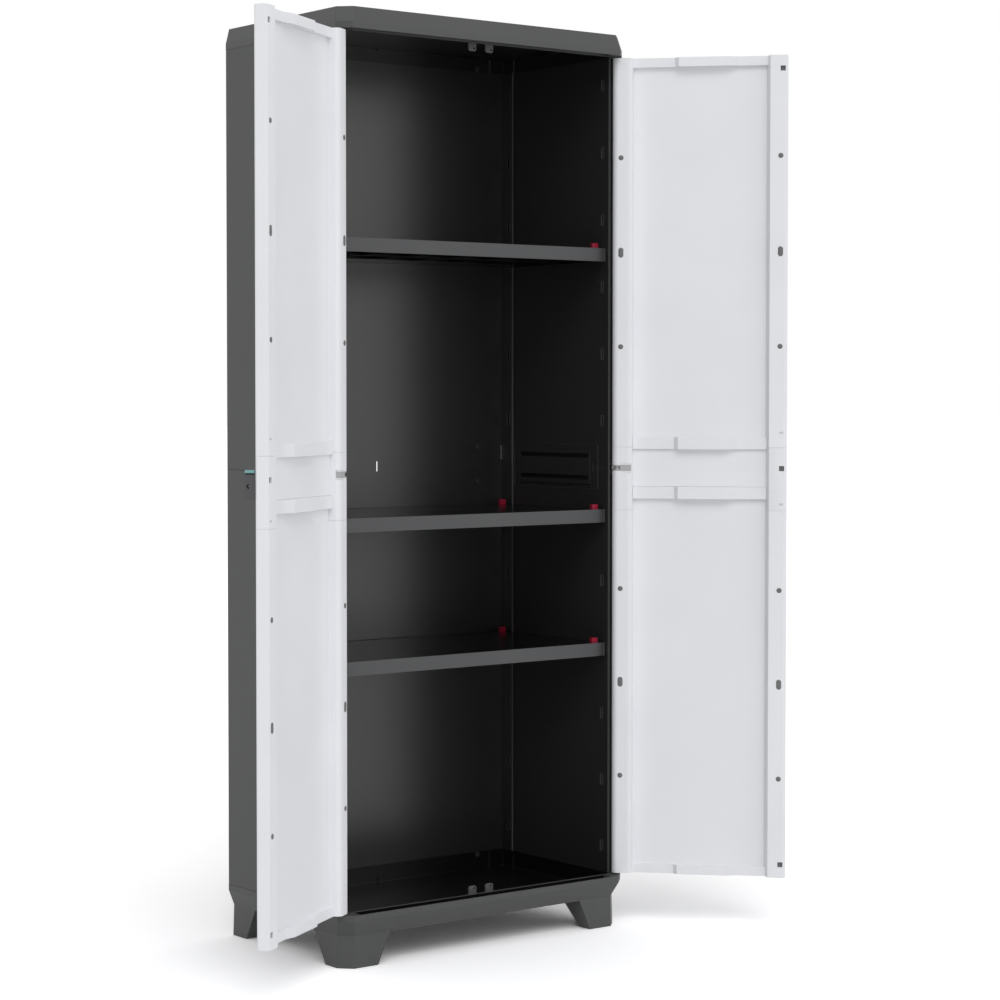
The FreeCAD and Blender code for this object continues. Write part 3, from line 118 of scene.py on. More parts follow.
floor_mesh = bpy.data.meshes.new("studio_floor")
corners = FLOOR_REACH * np.array([[-1, -1, 0], [1, -1, 0], [1, 1, 0], [-1, 1, 0]])
floor_mesh.from_pydata(corners.tolist(), [], [(0, 1, 2, 3)])
floor = bpy.data.objects.new("studio_floor", floor_mesh)
bpy.context.scene.collection.objects.link(floor)
paper = bpy.data.materials.new("studio_paper")
paper.use_nodes = True
tree = paper.node_tree
tree.nodes.remove(tree.nodes["Principled BSDF"])
lighting = tree.nodes.new("ShaderNodeBsdfDiffuse")
lighting.inputs["Color"].default_value = (PAPER_COLOUR, PAPER_COLOUR, PAPER_COLOUR, 1)
showing = tree.nodes.new("ShaderNodeBsdfDiffuse")
showing.inputs["Color"].default_value = (PAPER_SHOWN, PAPER_SHOWN,
                                         PAPER_SHOWN * PAPER_COOLNESS, 1)
lit_and_shown(tree, lighting, showing, "Material Output")
floor_mesh.materials.append(paper)


def broad_lamp(name, toward, spread, strength):
    """A far, broad lamp: parallel light from a direction, softened over a disc of sky."""
    data = bpy.data.lights.new(name, "SUN")
    data.angle = math.radians(spread)
    data.energy = strength
    lamp = bpy.data.objects.new(name, data)
    lamp.rotation_euler = Vector(toward).to_track_quat("Z", "Y").to_euler()
    bpy.context.scene.collection.objects.link(lamp)


broad_lamp("key_lamp", toward=(-0.35, -0.62, 0.70), spread=34, strength=0.95)
broad_lamp("front_lamp", toward=(0.5, -0.85, 0.15), spread=60, strength=0.4)

# Body mouldings: walls, roof, base and back. Each is dark grey resin with a fine tool grain and
# faint sink marks. Inside the cabinet each is painted far darker: painted shade of the deep
# inside.
# Long moulded edges are slightly rounded, except where the back's halves meet at the seam and
# where the back meets the roof.
SEAM = 0.908
ROOF_JOINT = 1.715
SAME_PLACE = 2e-6
SAME_PLANE = math.radians(0.3)
SAME_HEIGHT = 4e-4
EDGE_ANGLE = math.radians(30)
SHINE = 0.4
GLOSS_SPREAD = 0.06
CLOUD_SCALE = 6.0
CLOUD_STOPS = (0.3, 0.7)
GRAIN_SCALE = 900.0
GRAIN_STRENGTH = 0.35
LARGE_GRAIN = 0.0002
SINK_SCALE = 8.0
SINK_STRENGTH = 0.2
SINK_DEPTH = 0.001
INNER_COOLNESS = 1.02


def moulded_copy(node, material, round_off, long_edge, joints=()):
    """A CAD mesh merged into whole flat faces, with its long edges rounded in two steps.

    An edge is rounded where it is longer than long_edge and its faces turn by over EDGE_ANGLE.
    An edge at one of the heights named joints meets another piece and stays sharp."""
    shape = bmesh.new()
    shape.from_mesh(frame["nodes"][node].data)
    bmesh.ops.remove_doubles(shape, verts=shape.verts, dist=SAME_PLACE)
    bmesh.ops.dissolve_limit(shape, angle_limit=SAME_PLANE, verts=shape.verts, edges=shape.edges)
    weight = shape.edges.layers.float.new("bevel_weight_edge")
    for edge in shape.edges:
        sharp = len(edge.link_faces) == 2 and edge.calc_face_angle(0) > EDGE_ANGLE
        heights = [corner.co.z for corner in edge.verts]
        joint = any(max(abs(height - level) for height in heights) < SAME_HEIGHT
                    for level in joints)
        edge[weight] = 1.0 if sharp and not joint and edge.calc_length() > long_edge else 0.0
    mesh = bpy.data.meshes.new(node + "_moulding")
    shape.to_mesh(mesh)
    shape.free()
    mesh.materials.clear()
    mesh.materials.append(material)
    piece = bpy.data.objects.new(node + "_moulding", mesh)
    bpy.context.scene.collection.objects.link(piece)
    rounding = piece.modifiers.new("rounding", "BEVEL")
    rounding.limit_method = "WEIGHT"
    rounding.width = round_off
    rounding.segments = 2
    rounding.harden_normals = False
    body = next(name for name, nodes in frame["record"]["behaviour"]["bodies"].items()
                if node in nodes)
    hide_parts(node)
    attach(piece, body)
    return piece


def within(tree, place, low, high):
    """A factor of 1 inside a box given by its low and high corners, else 0.

    The largest of |p - middle| / half over the three axes is under one inside the box."""
    low, high = np.array(low), np.array(high)
    offset = tree.nodes.new("ShaderNodeVectorMath")
    offset.operation = "SUBTRACT"
    offset.inputs[1].default_value = (low + high) / 2
    share = tree.nodes.new("ShaderNodeVectorMath")
    share.operation = "DIVIDE"
    share.inputs[1].default_value = (high - low) / 2
    size = tree.nodes.new("ShaderNodeVectorMath")
    size.operation = "ABSOLUTE"
    axes = tree.nodes.new("ShaderNodeSeparateXYZ")
    tree.links.new(place, offset.inputs[0])
    tree.links.new(offset.outputs[0], share.inputs[0])
    tree.links.new(share.outputs[0], size.inputs[0])
    tree.links.new(size.outputs[0], axes.inputs[0])
    level = worked_out(tree, "MAXIMUM", axes.outputs[0], axes.outputs[1])
    largest = worked_out(tree, "MAXIMUM", level, axes.outputs[2])
    return worked_out(tree, "LESS_THAN", largest, 1.0)


def inner_choice(tree, inside, outer, inner):
    """Output of a Mix node that gives inner where inside is 1, and outer elsewhere.

    inner is a number or a colour, and outer a number or a socket. The node keeps its choices
    and its result in other sockets for a colour than for a number."""
    mix = tree.nodes.new("ShaderNodeMix")
    coloured = isinstance(inner, tuple)
    mix.data_type = "RGBA" if coloured else "FLOAT"
    outer_input, inner_input, result = (6, 7, 2) if coloured else (2, 3, 0)
    tree.links.new(inside, mix.inputs[0])
    if isinstance(outer, float):
        mix.inputs[outer_input].default_value = outer
    else:
        tree.links.new(outer, mix.inputs[outer_input])
    mix.inputs[inner_input].default_value = inner
    return mix.outputs[result]


def speckle(tree, place, scale, layers):
    """A soft random pattern from 0 to 1, with about scale marks to the metre."""
    noise = tree.nodes.new("ShaderNodeTexNoise")
    noise.inputs["Scale"].default_value = scale
    noise.inputs["Detail"].default_value = layers
    tree.links.new(place, noise.inputs["Vector"])
    return noise.outputs["Fac"]


def relief(tree, height, strength, depth):
    """A Bump node that raises the surface by a pattern, by depth at most."""
    bump = tree.nodes.new("ShaderNodeBump")
    bump.inputs["Strength"].default_value = strength
    bump.inputs["Distance"].default_value = depth
    tree.links.new(height, bump.inputs["Height"])
    return bump


def grained_resin(name, colour, lighter, rough, grain_depth, zone=None, inner_tone=None,
                  inner_rough=0.34, inner_shine=SHINE):
    """Moulded resin: two near tones in soft clouds, a fine grain and faint sink marks.

    The grain has about one mark a millimetre, and the sinks one in 12 cm. The roughness varies
    with the clouds about rough. Inside the box named zone, the grey is inner_tone, the roughness
    inner_rough, and the strength of the mirror part inner_shine."""
    material = bpy.data.materials.new(name)
    material.use_nodes = True
    tree = material.node_tree
    shader = tree.nodes["Principled BSDF"]
    shader.inputs["Specular IOR Level"].default_value = SHINE
    place = tree.nodes.new("ShaderNodeTexCoord").outputs["Object"]
    cloud = speckle(tree, place, CLOUD_SCALE, layers=3.0)
    tones = tree.nodes.new("ShaderNodeValToRGB")
    for stop, share, tone in zip(tones.color_ramp.elements, CLOUD_STOPS, (colour, lighter)):
        stop.position = share
        stop.color = (*tone, 1)
    gloss = tree.nodes.new("ShaderNodeMapRange")
    gloss.inputs["To Min"].default_value = rough - GLOSS_SPREAD
    gloss.inputs["To Max"].default_value = rough + GLOSS_SPREAD
    tree.links.new(cloud, tones.inputs["Fac"])
    tree.links.new(cloud, gloss.inputs["Value"])
    sinks = relief(tree, speckle(tree, place, SINK_SCALE, layers=1.0), SINK_STRENGTH, SINK_DEPTH)
    grain = relief(tree, speckle(tree, place, GRAIN_SCALE, layers=2.0), GRAIN_STRENGTH,
                   grain_depth)
    tree.links.new(sinks.outputs["Normal"], grain.inputs["Normal"])
    tree.links.new(grain.outputs["Normal"], shader.inputs["Normal"])
    shown_tone, shown_gloss = tones.outputs["Color"], gloss.outputs["Result"]
    if zone:
        inside = within(tree, place, *zone)
        grey = (inner_tone, inner_tone, inner_tone * INNER_COOLNESS, 1)
        shown_tone = inner_choice(tree, inside, shown_tone, grey)
        shown_gloss = inner_choice(tree, inside, shown_gloss, inner_rough)
        if inner_shine != SHINE:
            shown_shine = inner_choice(tree, inside, SHINE, inner_shine)
            tree.links.new(shown_shine, shader.inputs["Specular IOR Level"])
    tree.links.new(shown_tone, shader.inputs["Base Color"])
    tree.links.new(shown_gloss, shader.inputs["Roughness"])
    return material


# Painted shade: inside this box, the inside of the cabinet, the walls are painted near black.
WALL_SHADE_BOX = ((-0.3222, -0.17, 0.0), (0.3222, 0.21, 1.8))
wall_resin = grained_resin("wall_resin", (0.052, 0.053, 0.054), (0.058, 0.059, 0.060), 0.5,
                           LARGE_GRAIN, zone=WALL_SHADE_BOX, inner_tone=0.018)
for node in ("left_wall_lower", "left_wall_upper", "right_wall_lower", "right_wall_upper"):
    moulded_copy(node, wall_resin, round_off=0.0012, long_edge=0.03)

# Painted shade: inside this box the roof's ceiling and the base's tray are painted near black.
TRAY_SHADE_BOX = ((-0.3225, -0.1657, 0.0665), (0.3225, 0.1785, 1.7515))
roof_resin = grained_resin("roof_resin", (0.057, 0.058, 0.059), (0.064, 0.065, 0.066), 0.48,
                           LARGE_GRAIN, zone=TRAY_SHADE_BOX, inner_tone=0.006, inner_rough=0.28,
                           inner_shine=0.5)
moulded_copy("roof", roof_resin, round_off=0.002, long_edge=0.02, joints=(ROOF_JOINT,))
base_resin = grained_resin("base_resin", (0.054, 0.055, 0.056), (0.061, 0.062, 0.063), 0.48,
                           LARGE_GRAIN, zone=TRAY_SHADE_BOX, inner_tone=0.002, inner_rough=0.3)
moulded_copy("base", base_resin, round_off=0.002, long_edge=0.02)

# Painted shade: inside this box the back panel's inner face is painted near black.
BACK_SHADE_BOX = ((-0.3222, 0.1455, 0.0), (0.3222, 0.179, 1.8))
back_resin = grained_resin("back_resin", (0.062, 0.063, 0.064), (0.069, 0.070, 0.071), 0.5,
                           LARGE_GRAIN, zone=BACK_SHADE_BOX, inner_tone=0.012, inner_rough=0.28,
                           inner_shine=0.7)
for node in ("back_panel_lower", "back_panel_upper"):
    moulded_copy(node, back_resin, round_off=0.0008, long_edge=0.03, joints=(SEAM, ROOF_JOINT))

# Slot rims. A thin raised lip runs round the clip slots, moulded on the walls at the front and
# on the back panel's flanges at the rear, and a slim bead frames each wall joiner. The two rows
# of slots below the seam that carry a shelf have no lip.
SIDES = (("left", -1), ("right", 1))
ACROSS = np.array([1.0, 0.0, 0.0])
WALL_FACE = 0.322
FLANGE_FACE = 0.3179
RIM_COLUMNS = ((WALL_FACE, -0.140), (FLANGE_FACE, 0.157))
SLOT_FIRST = 0.0925
SLOT_PITCH = 0.1325
SLOTS_TO_A_HALF = 6
SLOT_HALF = 0.008
RIM_REACH = 0.0038
RIM_THICK = 0.0008
RIM_ARC_POINTS = 15
FRAME_FRONT = -0.127
FRAME_REAR = 0.1425
FRAME_HALF = 0.044
FRAME_ROUND = 0.004
FRAME_THICK = 0.0007
FRAME_ARC_POINTS = 6
BEAD_POINTS = 10
SMALL_GRAIN = 0.0001


def closed_quads(rows, columns):
    """Quads of a grid of points that closes on itself both ways."""
    index = np.arange(rows * columns).reshape(rows, columns)
    return np.stack([index, np.roll(index, -1, 0), np.roll(np.roll(index, -1, 0), -1, 1),
                     np.roll(index, -1, 1)], axis=-1).reshape(-1, 4)


def bead_along(line, outward, thick):
    """Surface of a round bead that follows a closed line in an upright plane.

    Point (i, j) is line_i + thick * (cos v_j * outward_i + sin v_j * across), v_j round the
    circle."""
    turn = np.linspace(0, 2 * np.pi, BEAD_POINTS, endpoint=False)
    ring = (line[:, None, :] + thick * (np.cos(turn)[None, :, None] * outward[:, None, :]
                                        + np.sin(turn)[None, :, None] * ACROSS))
    return ring.reshape(-1, 3), closed_quads(*ring.shape[:2])


def joined_surface(name, surfaces, body, material, smooth=True):
    """One piece made of several closed surfaces, each given as points and quads."""
    points, quads, count = [], [], 0
    for some_points, some_quads in surfaces:
        points.append(some_points)
        quads.append(some_quads + count)
        count += len(some_points)
    mesh = bpy.data.meshes.new(name)
    mesh.from_pydata(np.concatenate(points).tolist(), [], np.concatenate(quads).tolist())
    shape = bmesh.new()
    shape.from_mesh(mesh)
    bmesh.ops.remove_doubles(shape, verts=shape.verts, dist=SAME_PLACE)
    bmesh.ops.recalc_face_normals(shape, faces=shape.faces)
    shape.to_mesh(mesh)
    shape.free()
    mesh.polygons.foreach_set("use_smooth", np.full(len(mesh.polygons), smooth))
    mesh.materials.append(material)
    piece = bpy.data.objects.new(name, mesh)
    bpy.context.scene.collection.objects.link(piece)
    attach(piece, body)


def stretched_ring(arc_points, straight):
    """Angles of an upper and a lower half turn, and how far each point moves up.

    The upper half moves up by straight, and the lower half down by as much."""
    turn = np.concatenate([np.linspace(0, np.pi, arc_points),
                           np.linspace(np.pi, 2 * np.pi, arc_points)])
    return turn, np.repeat([straight, -straight], arc_points)


def slot_rim(side, face, along, height):
    """Rim of one slot: an upright oval in the wall's plane, half sunk in the wall.

    The oval is (y, z) = RIM_REACH * (cos u, sin u), moved up by SLOT_HALF on its upper half and
    down by as much on its lower half."""
    turn, rise = stretched_ring(RIM_ARC_POINTS, SLOT_HALF)
    line = np.stack([np.full_like(turn, face * side), along + RIM_REACH * np.cos(turn),
                     height + rise + RIM_REACH * np.sin(turn)], axis=-1)
    outward = np.stack([np.zeros_like(turn), np.cos(turn), np.sin(turn)], axis=-1)
    return bead_along(line, outward, RIM_THICK)


def joiner_frame(side):
    """Bead round a joiner: a rectangle with rounded corners in the wall's plane.

    The line is corner_k + FRAME_ROUND * (cos u, sin u), with u over a quarter turn at each."""
    quarter = np.linspace(0, np.pi / 2, FRAME_ARC_POINTS)
    turn = (quarter[None, :] + np.arange(4)[:, None] * np.pi / 2).reshape(-1)
    rear, front = FRAME_REAR - FRAME_ROUND, FRAME_FRONT + FRAME_ROUND
    high, low = SEAM + FRAME_HALF - FRAME_ROUND, SEAM - FRAME_HALF + FRAME_ROUND
    corner_y = np.repeat([rear, front, front, rear], FRAME_ARC_POINTS)
    corner_z = np.repeat([high, high, low, low], FRAME_ARC_POINTS)
    line = np.stack([np.full_like(turn, WALL_FACE * side), corner_y + FRAME_ROUND * np.cos(turn),
                     corner_z + FRAME_ROUND * np.sin(turn)], axis=-1)
    outward = np.stack([np.zeros_like(turn), np.cos(turn), np.sin(turn)], axis=-1)
    return bead_along(line, outward, FRAME_THICK)


rim_resin = grained_resin("rim_resin", (0.030, 0.030, 0.031), (0.036, 0.036, 0.037), 0.3,
                          SMALL_GRAIN)
slot_heights = [SEAM + way * (SLOT_FIRST + step * SLOT_PITCH)
                for way in (-1, 1) for step in range(SLOTS_TO_A_HALF)]
clipped_heights = (SEAM - SLOT_FIRST, SEAM - SLOT_FIRST - 2 * SLOT_PITCH)
for hand, side in SIDES:
    rims = [slot_rim(side, face, along, height) for face, along in RIM_COLUMNS
            for height in slot_heights if height not in clipped_heights]
    joined_surface(hand + "_slot_rims", rims, "cabinet", rim_resin)
    joined_surface(hand + "_joiner_frame", [joiner_frame(side)], "cabinet",
                   rim_resin)

# Ceiling, rear corners and sill. A flat lining closes the roof's ribs, a narrow black strip runs
# down each rear corner of the back panel as painted shadow of the gap there, a lip beside each
# light slot narrows it, and the channel behind the base's front lip has a black lining, painted
# shade of the channel.
CEILING_CORNER, CEILING_SIZE = (-0.3213, -0.1648, 1.7415), (0.6426, 0.3423, 0.001)
CORNER_SHADOW_START, CORNER_SHADOW_SIZE = (0.3166, 0.1777, 0.068), (0.0012, 0.0005, 1.673)
LIP_CORNER, LIP_SIZE = (0.3112, 0.1784, 0.9165), (0.0032, 0.0024, 0.031)
SILL_SHADE_CORNER, SILL_SHADE_SIZE = (-0.2999, -0.1724, 0.0918), (0.5998, 0.0005, 0.0087)
SILL_SHADE_SHINE = 0.05


def slab(start, *edges):
    """Points and quads of a block: start plus each sum of its three edges."""
    steps = np.array([[i & 1, (i >> 1) & 1, (i >> 2) & 1] for i in range(8)])
    faces = np.array([[0, 2, 3, 1], [4, 5, 7, 6], [0, 1, 5, 4], [2, 6, 7, 3], [0, 4, 6, 2],
                      [1, 3, 7, 5]])
    return start + steps @ np.array(edges), faces


def square_slab(corner, size, side=1):
    """A slab that lies square to the cabinet, or its mirror image for the left side, -1."""
    mirror = np.array([side, 1, 1])
    return slab(corner * mirror, *np.diag(size * mirror))


joined_surface("ceiling_lining", [square_slab(CEILING_CORNER, CEILING_SIZE)], "cabinet",
               roof_resin, smooth=False)
# This near-black resin paints shade: on the rear corner gaps and on the padlock eyes' walls.
painted_shade_resin = grained_resin("painted_shade_resin", (0.012, 0.012, 0.012), (0.016, 0.016, 0.016), 0.6,
                           SMALL_GRAIN)
# Painted shadow: a black strip in each rear corner stands for the shadow in the gap there.
corner_shadows = [square_slab(CORNER_SHADOW_START, CORNER_SHADOW_SIZE, side) for side in (-1, 1)]
joined_surface("rear_corner_painted_shadows", corner_shadows, "cabinet", painted_shade_resin, smooth=False)
lips = [square_slab(LIP_CORNER, LIP_SIZE, side) for side in (-1, 1)]
joined_surface("light_slot_lips", lips, "cabinet", back_resin, smooth=False)
# Painted shade: a near-black lining with almost no shine darkens the channel behind the sill's
# lip.
sill_shade_resin = grained_resin("sill_shade_resin", (0.002, 0.002, 0.002), (0.003, 0.003, 0.003), 0.6,
                              SMALL_GRAIN)
sill_shade_shader = sill_shade_resin.node_tree.nodes["Principled BSDF"]
sill_shade_shader.inputs["Specular IOR Level"].default_value = SILL_SHADE_SHINE
joined_surface("sill_painted_shade_lining", [square_slab(SILL_SHADE_CORNER, SILL_SHADE_SIZE)], "cabinet",
               sill_shade_resin, smooth=False)

# Shelves. Each is one ribbed moulding in the body's grey with a deep lip all round. Its top is
# satin, and painted nearly black as the inside of the cabinet is: painted shade of the deep
# inside.
SHELF_SHADE_BOX = ((-0.33, -0.1477, 0.0), (0.33, 0.2, 1.8))
shelf_resin = grained_resin("shelf_resin", (0.055, 0.056, 0.058), (0.062, 0.063, 0.065), 0.45,
                            LARGE_GRAIN, zone=SHELF_SHADE_BOX, inner_tone=0.004, inner_rough=0.15,
                            inner_shine=0.5)
for node in ("shelf_top", "shelf_middle", "shelf_bottom"):
    moulded_copy(node, shelf_resin, round_off=0.0015, long_edge=0.02)

# Shelf clips, four to a shelf, moulded in red resin so that they are found easily. Each hooks
# into a wall slot, and its arm under the shelf carries a peg up through it.
clip_resin = grained_resin("clip_resin", (0.27, 0.010, 0.032), (0.32, 0.013, 0.040), 0.24,
                           SMALL_GRAIN)
for node in ("shelf_top_clips", "shelf_middle_clips", "shelf_bottom_clips"):
    moulded_copy(node, clip_resin, round_off=0.0016, long_edge=0.003)

# Wall joiners and catches, of dark resin. A joiner plugs into both halves of a side wall, and the
# closed doors rest against the catches. The joiners' gripping slots and edges are black, and only
# their faces, within JOINER_FACE, are dark grey.
JOINER_FACE = ((-0.3192, -0.2, 0.0), (0.3192, 0.2, 1.8))
joiner_resin = grained_resin("joiner_resin", (0.0012, 0.0012, 0.0012), (0.0016, 0.0016, 0.0016),
                             0.6, SMALL_GRAIN, zone=JOINER_FACE, inner_tone=0.018,
                             inner_rough=0.36)
for node in ("left_wall_joiner", "right_wall_joiner"):
    moulded_copy(node, joiner_resin, round_off=0.0008, long_edge=0.01)
catch_resin = grained_resin("catch_resin", (0.060, 0.060, 0.061), (0.068, 0.068, 0.069), 0.42,
                            SMALL_GRAIN)
for node in ("roof_catches", "base_catches"):
    moulded_copy(node, catch_resin, round_off=0.0006, long_edge=0.004)

# Middle hinges, of pale resin. On the wall stands a light grey eye whose foot, inside the
# cabinet,
# is painted near black: painted shade. On the door's stile is a white leaf with two ears and the
# pin. Between the ears the leaf is painted grey: painted shade round the knuckle.
LEAF_SHADE_BAND = ((-1.0, -1.0, SEAM - 0.006), (1.0, 1.0, SEAM + 0.006))
HINGE_FOOT_SHADE = ((-0.4, -0.163, 0.8), (0.4, -0.1, 1.0))
leaf_resin = grained_resin("leaf_resin", (0.795, 0.805, 0.835), (0.825, 0.832, 0.858), 0.45,
                           SMALL_GRAIN, zone=LEAF_SHADE_BAND, inner_tone=0.42, inner_rough=0.45)
eye_resin = grained_resin("eye_resin", (0.60, 0.60, 0.605), (0.64, 0.64, 0.645), 0.45,
                          SMALL_GRAIN, zone=HINGE_FOOT_SHADE, inner_tone=0.004)
for hand in ("left", "right"):
    moulded_copy(hand + "_hinge_leaf", leaf_resin, round_off=0.0005, long_edge=0.004)
    moulded_copy(hand + "_hinge_bracket", eye_resin, round_off=0.0005, long_edge=0.004)

# Doors. Each is two white resin halves joined by a coupler, with painted shade: the pads' far
# slopes are painted a shade darker. Grey inserts lie in the square holes, and faint snap windows
# flank the middle one.
# Fillings above and below the hinge arm carry the round hinge edge on.
UP = np.array([0.0, 0.0, 1.0])
DOOR_JOINTS = (SEAM - 0.083, SEAM - 0.037, SEAM, SEAM + 0.037, SEAM + 0.041)
SLOPE_ALONG = 0.1
SLOPE_INWARD = 0.7
INSERT_HEIGHTS = (0.130, SEAM, 1.686)
INSERT_ALONG = 0.3164
INSERT_INWARD = 0.0042
INSERT_SIDE = 0.0098
INSERT_DEPTH = 0.0043
WINDOW_HEIGHTS = (SEAM - 0.070, SEAM + 0.070)
WINDOW_ALONG = 0.3165
WINDOW_INWARD = 0.0117
WINDOW_SIZE = (0.008, 0.00035, 0.004)
NOTCH_NEAR = 0.0076
NOTCH_FAR = 0.0118
NOTCH_TURN = (75, 215)
NOTCH_POINTS = 24
FILLING_LOWS = (-0.0083, 0.0035)
FILLING_TALL = 0.0048
FILLER_PLACES = ((0.0028, -0.0083, 0.0048), (0.0028, 0.0035, 0.0048), (0.0047, -0.0036, 0.0072))
FILLER_INWARD = 0.0082
FILLER_DEPTH = 0.0036
door_resin = grained_resin("door_resin", (0.795, 0.805, 0.835), (0.825, 0.832, 0.858), 0.45,
                           LARGE_GRAIN)
# Painted shade: a darker copy of the door's resin for the faces that lean towards the free edge.
slope_shade_resin = grained_resin("slope_shade_resin", (0.740, 0.749, 0.777), (0.767, 0.774, 0.798), 0.45,
                            LARGE_GRAIN)
insert_resin = grained_resin("insert_resin", (0.12, 0.12, 0.121), (0.14, 0.14, 0.141), 0.6,
                             SMALL_GRAIN)
window_resin = grained_resin("window_resin", (0.56, 0.56, 0.58), (0.60, 0.60, 0.62), 0.6,
                             SMALL_GRAIN)


def door_axes(hand, side):
    """A door's pivot, and the directions along it and towards its inner face, at rest.

    A closed door runs towards the middle. It stands open by the turn that closes it, which is
    the upper limit of the left hinge and the lower limit of the right one."""
    hinge = next(joint for joint in frame["record"]["behaviour"]["joints"]
                 if joint["child"] == hand + "_door")
    low, high = hinge["range_deg"]
    turn = -math.radians(high if side < 0 else low)
    along = np.array([-side * math.cos(turn), -side * math.sin(turn), 0.0])
    inward = np.array([-math.sin(turn), math.cos(turn), 0.0])
    return np.array([*hinge["pos_m"][:2], 0.0]), along, inward


def door_slab(axes, corner, size):
    """A slab on a door. Its corner and size are given along the door, inward and up."""
    pivot, along, inward = axes
    start = pivot + along * corner[0] + inward * corner[1] + UP * corner[2]
    return slab(start, along * size[0], inward * size[1], UP * size[2])


def edge_filling(axes, low):
    """Filling of the hinge notch: part of a ring about the pivot, with a square section.

    Point (i, j) is pivot + r_j * (cos u_i * along + sin u_i * inward) + z_j * up, with u_i from
    one angle of NOTCH_TURN to the other, r_j NOTCH_NEAR or NOTCH_FAR, and z_j low or
    FILLING_TALL above it."""
    pivot, along, inward = axes
    turn = np.radians(np.linspace(*NOTCH_TURN, NOTCH_POINTS))
    reach = np.array([NOTCH_NEAR, NOTCH_FAR, NOTCH_FAR, NOTCH_NEAR])
    height = low + np.array([0.0, 0.0, FILLING_TALL, FILLING_TALL])
    spoke = np.cos(turn)[:, None] * along + np.sin(turn)[:, None] * inward
    points = pivot + reach[None, :, None] * spoke[:, None, :] + height[None, :, None] * UP
    index = np.arange(turn.size * reach.size).reshape(turn.size, reach.size)
    quads = np.stack([index[:-1], index[1:], np.roll(index[1:], -1, 1),
                      np.roll(index[:-1], -1, 1)], axis=-1).reshape(-1, 4)
    return points.reshape(-1, 3), np.concatenate([quads, index[:1], index[-1:]])


def paint_shade_on_slopes(piece, axes):
    """Paint shade on the faces of a door that lean towards its free edge, with the darker slope
    resin.
    """
    faces = piece.data.polygons
    normals = np.empty(len(faces) * 3)
    faces.foreach_get("normal", normals)
    normals = normals.reshape(-1, 3)
    along, inward = axes[1:]
    leaning = (normals @ along > SLOPE_ALONG) & (normals @ inward > SLOPE_INWARD)
    piece.data.materials.append(slope_shade_resin)
    faces.foreach_set("material_index", leaning.astype(np.int32))


for hand, side in SIDES:
    axes = door_axes(hand, side)
    for part in ("_door_lower", "_door_upper", "_door_coupler"):
        moulding = moulded_copy(hand + part, door_resin, round_off=0.0015, long_edge=0.02,
                                joints=DOOR_JOINTS)
        paint_shade_on_slopes(moulding, axes)
    inserts = [door_slab(axes, (INSERT_ALONG, INSERT_INWARD, height - INSERT_SIDE / 2),
                         (INSERT_SIDE, INSERT_DEPTH, INSERT_SIDE)) for height in INSERT_HEIGHTS]
    joined_surface(hand + "_square_hole_inserts", inserts, hand + "_door",
                   insert_resin, smooth=False)
    windows = [door_slab(axes, (WINDOW_ALONG, WINDOW_INWARD, height - WINDOW_SIZE[2] / 2),
                         WINDOW_SIZE) for height in WINDOW_HEIGHTS]
    joined_surface(hand + "_snap_windows", windows, hand + "_door", window_resin,
                   smooth=False)
    fillings = [edge_filling(axes, SEAM + low) for low in FILLING_LOWS]
    fillings += [door_slab(axes, (place, FILLER_INWARD, SEAM + low),
                           (NOTCH_NEAR - place, FILLER_DEPTH, tall))
                 for place, low, tall in FILLER_PLACES]
    joined_surface(hand + "_hinge_edge_fillings", fillings, hand + "_door",
                   leaf_resin, smooth=False)

# Pegs and pins. Grey snap pegs with low domed heads fill the stiles, darker ones hold the back,
# and dark pins carry the doors. Each stile has four round heads and two upright oval ones.
PEG_PLACES = (0.0056, 0.3175)
PEG_ROWS = ((0.609, 0.0), (0.2385, 0.0), (0.4232, 0.0048))
INNER_FACE = 0.012
HEAD_REACH = 0.0050
HEAD_EDGE = 0.0002
HEAD_RISE = 0.0010
HEAD_BACK = -0.0005
HEAD_SHARES = (0.02, 0.25, 0.45, 0.62, 0.76, 0.88, 0.96, 1.0, 1.0, 0.02)
HEAD_ARC_POINTS = 13
peg_resin = grained_resin("peg_resin", (0.13, 0.13, 0.133), (0.15, 0.15, 0.153), 0.4,
                          SMALL_GRAIN)
back_peg_resin = grained_resin("back_peg_resin", (0.022, 0.022, 0.023), (0.026, 0.026, 0.027),
                               0.5, SMALL_GRAIN)
pin_resin = grained_resin("pin_resin", (0.05, 0.05, 0.052), (0.055, 0.055, 0.057), 0.4,
                          SMALL_GRAIN)
for node, material in (("back_pegs", back_peg_resin), ("left_door_pegs", peg_resin),
                       ("right_door_pegs", peg_resin), ("left_door_pins", pin_resin),
                       ("right_door_pins", pin_resin)):
    frame["nodes"][node].data.materials.clear()
    frame["nodes"][node].data.materials.append(material)


def domed_head(centre, inward, along, straight):
    """A peg's head: rings that rise towards the middle, stretched upright by a straight part.

    Ring i has radius HEAD_REACH * share_i and lift HEAD_EDGE + HEAD_RISE * (1 - share_i^3). Its
    upper half moves up and its lower half down by straight. The last two rings are the back."""
    share = np.array(HEAD_SHARES)
    lift = HEAD_EDGE + HEAD_RISE * (1 - share ** 3)
    lift[-2:] = HEAD_BACK
    turn, rise = stretched_ring(HEAD_ARC_POINTS, straight)
    flat = HEAD_REACH * share[:, None, None] * (np.cos(turn)[None, :, None] * along
                                                + np.sin(turn)[None, :, None] * UP)
    rings = centre + flat + rise[None, :, None] * UP + lift[:, None, None] * inward
    index = np.arange(share.size * turn.size).reshape(share.size, turn.size)
    sides = np.stack([index[:-1], np.roll(index[:-1], -1, 1), np.roll(index[1:], -1, 1),
                      index[1:]], axis=-1).reshape(-1, 4)
    upper = np.arange(HEAD_ARC_POINTS - 1)
    lower = turn.size - 1 - upper
    caps = [np.stack([ring[upper], ring[upper + 1], ring[lower - 1], ring[lower]], axis=-1)
            for ring in (index[0], index[-1])]
    return rings.reshape(-1, 3), np.concatenate([sides, *caps])


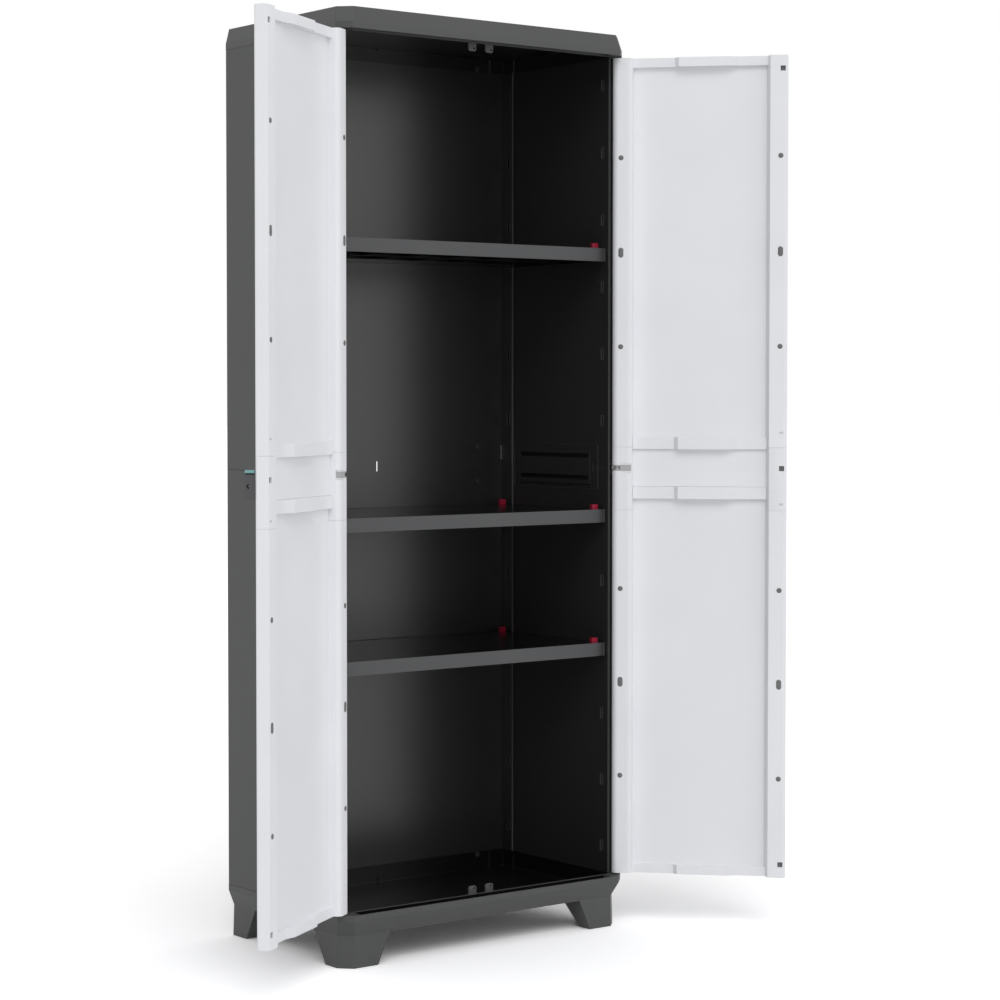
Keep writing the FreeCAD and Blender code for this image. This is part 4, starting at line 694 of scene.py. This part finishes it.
for hand, side in SIDES:
    pivot, along, inward = door_axes(hand, side)
    heads = []
    for place in PEG_PLACES:
        face = pivot + along * place + inward * INNER_FACE
        heads += [domed_head(face + UP * (SEAM + way * height), inward, along, straight)
                  for way in (-1, 1) for height, straight in PEG_ROWS]
    joined_surface(hand + "_peg_heads", heads, hand + "_door", peg_resin)

# Handles. Each is a dark grey resin tab on the door's outer skin, with an eye for a padlock, and
# a teal strip caps its top. A thin black lining covers the eye's wall: painted shade inside the
# eye.
EYE_ALONG = 0.3149
EYE_INWARD = -0.0285
EYE_HEIGHT = 0.897
EYE_LENGTH = 0.0078
EYE_NEAR = 0.00385
EYE_FAR = 0.0041
EYE_POINTS = 32
handle_resin = grained_resin("handle_resin", (0.062, 0.061, 0.066), (0.070, 0.069, 0.074), 0.45,
                             SMALL_GRAIN)
strip_resin = grained_resin("strip_resin", (0.15, 0.34, 0.34), (0.18, 0.38, 0.38), 0.4,
                            SMALL_GRAIN)


def eye_lining(start, length, inward):
    """Lining of the padlock eye: a thin tube with a square wall, swept round a circle.

    Point (i, j) is start + s_j * length + r_j * (cos u_i * inward + sin u_i * up)."""
    turn = np.linspace(0, 2 * np.pi, EYE_POINTS, endpoint=False)
    reach = np.array([EYE_NEAR, EYE_NEAR, EYE_FAR, EYE_FAR])
    share = np.array([0.0, 1.0, 1.0, 0.0])
    spoke = np.cos(turn)[:, None] * inward + np.sin(turn)[:, None] * UP
    points = start + share[None, :, None] * length + reach[None, :, None] * spoke[:, None, :]
    return points.reshape(-1, 3), closed_quads(turn.size, reach.size)


for hand, side in SIDES:
    moulded_copy(hand + "_handle", handle_resin, round_off=0.001, long_edge=0.005)
    moulded_copy(hand + "_handle_strip", strip_resin, round_off=0.0012, long_edge=0.004)
    pivot, along, inward = door_axes(hand, side)
    start = pivot + along * EYE_ALONG + inward * EYE_INWARD + UP * EYE_HEIGHT
    joined_surface(hand + "_padlock_eye", [eye_lining(start, along * EYE_LENGTH, inward)],
                   hand + "_door", painted_shade_resin, smooth=False)
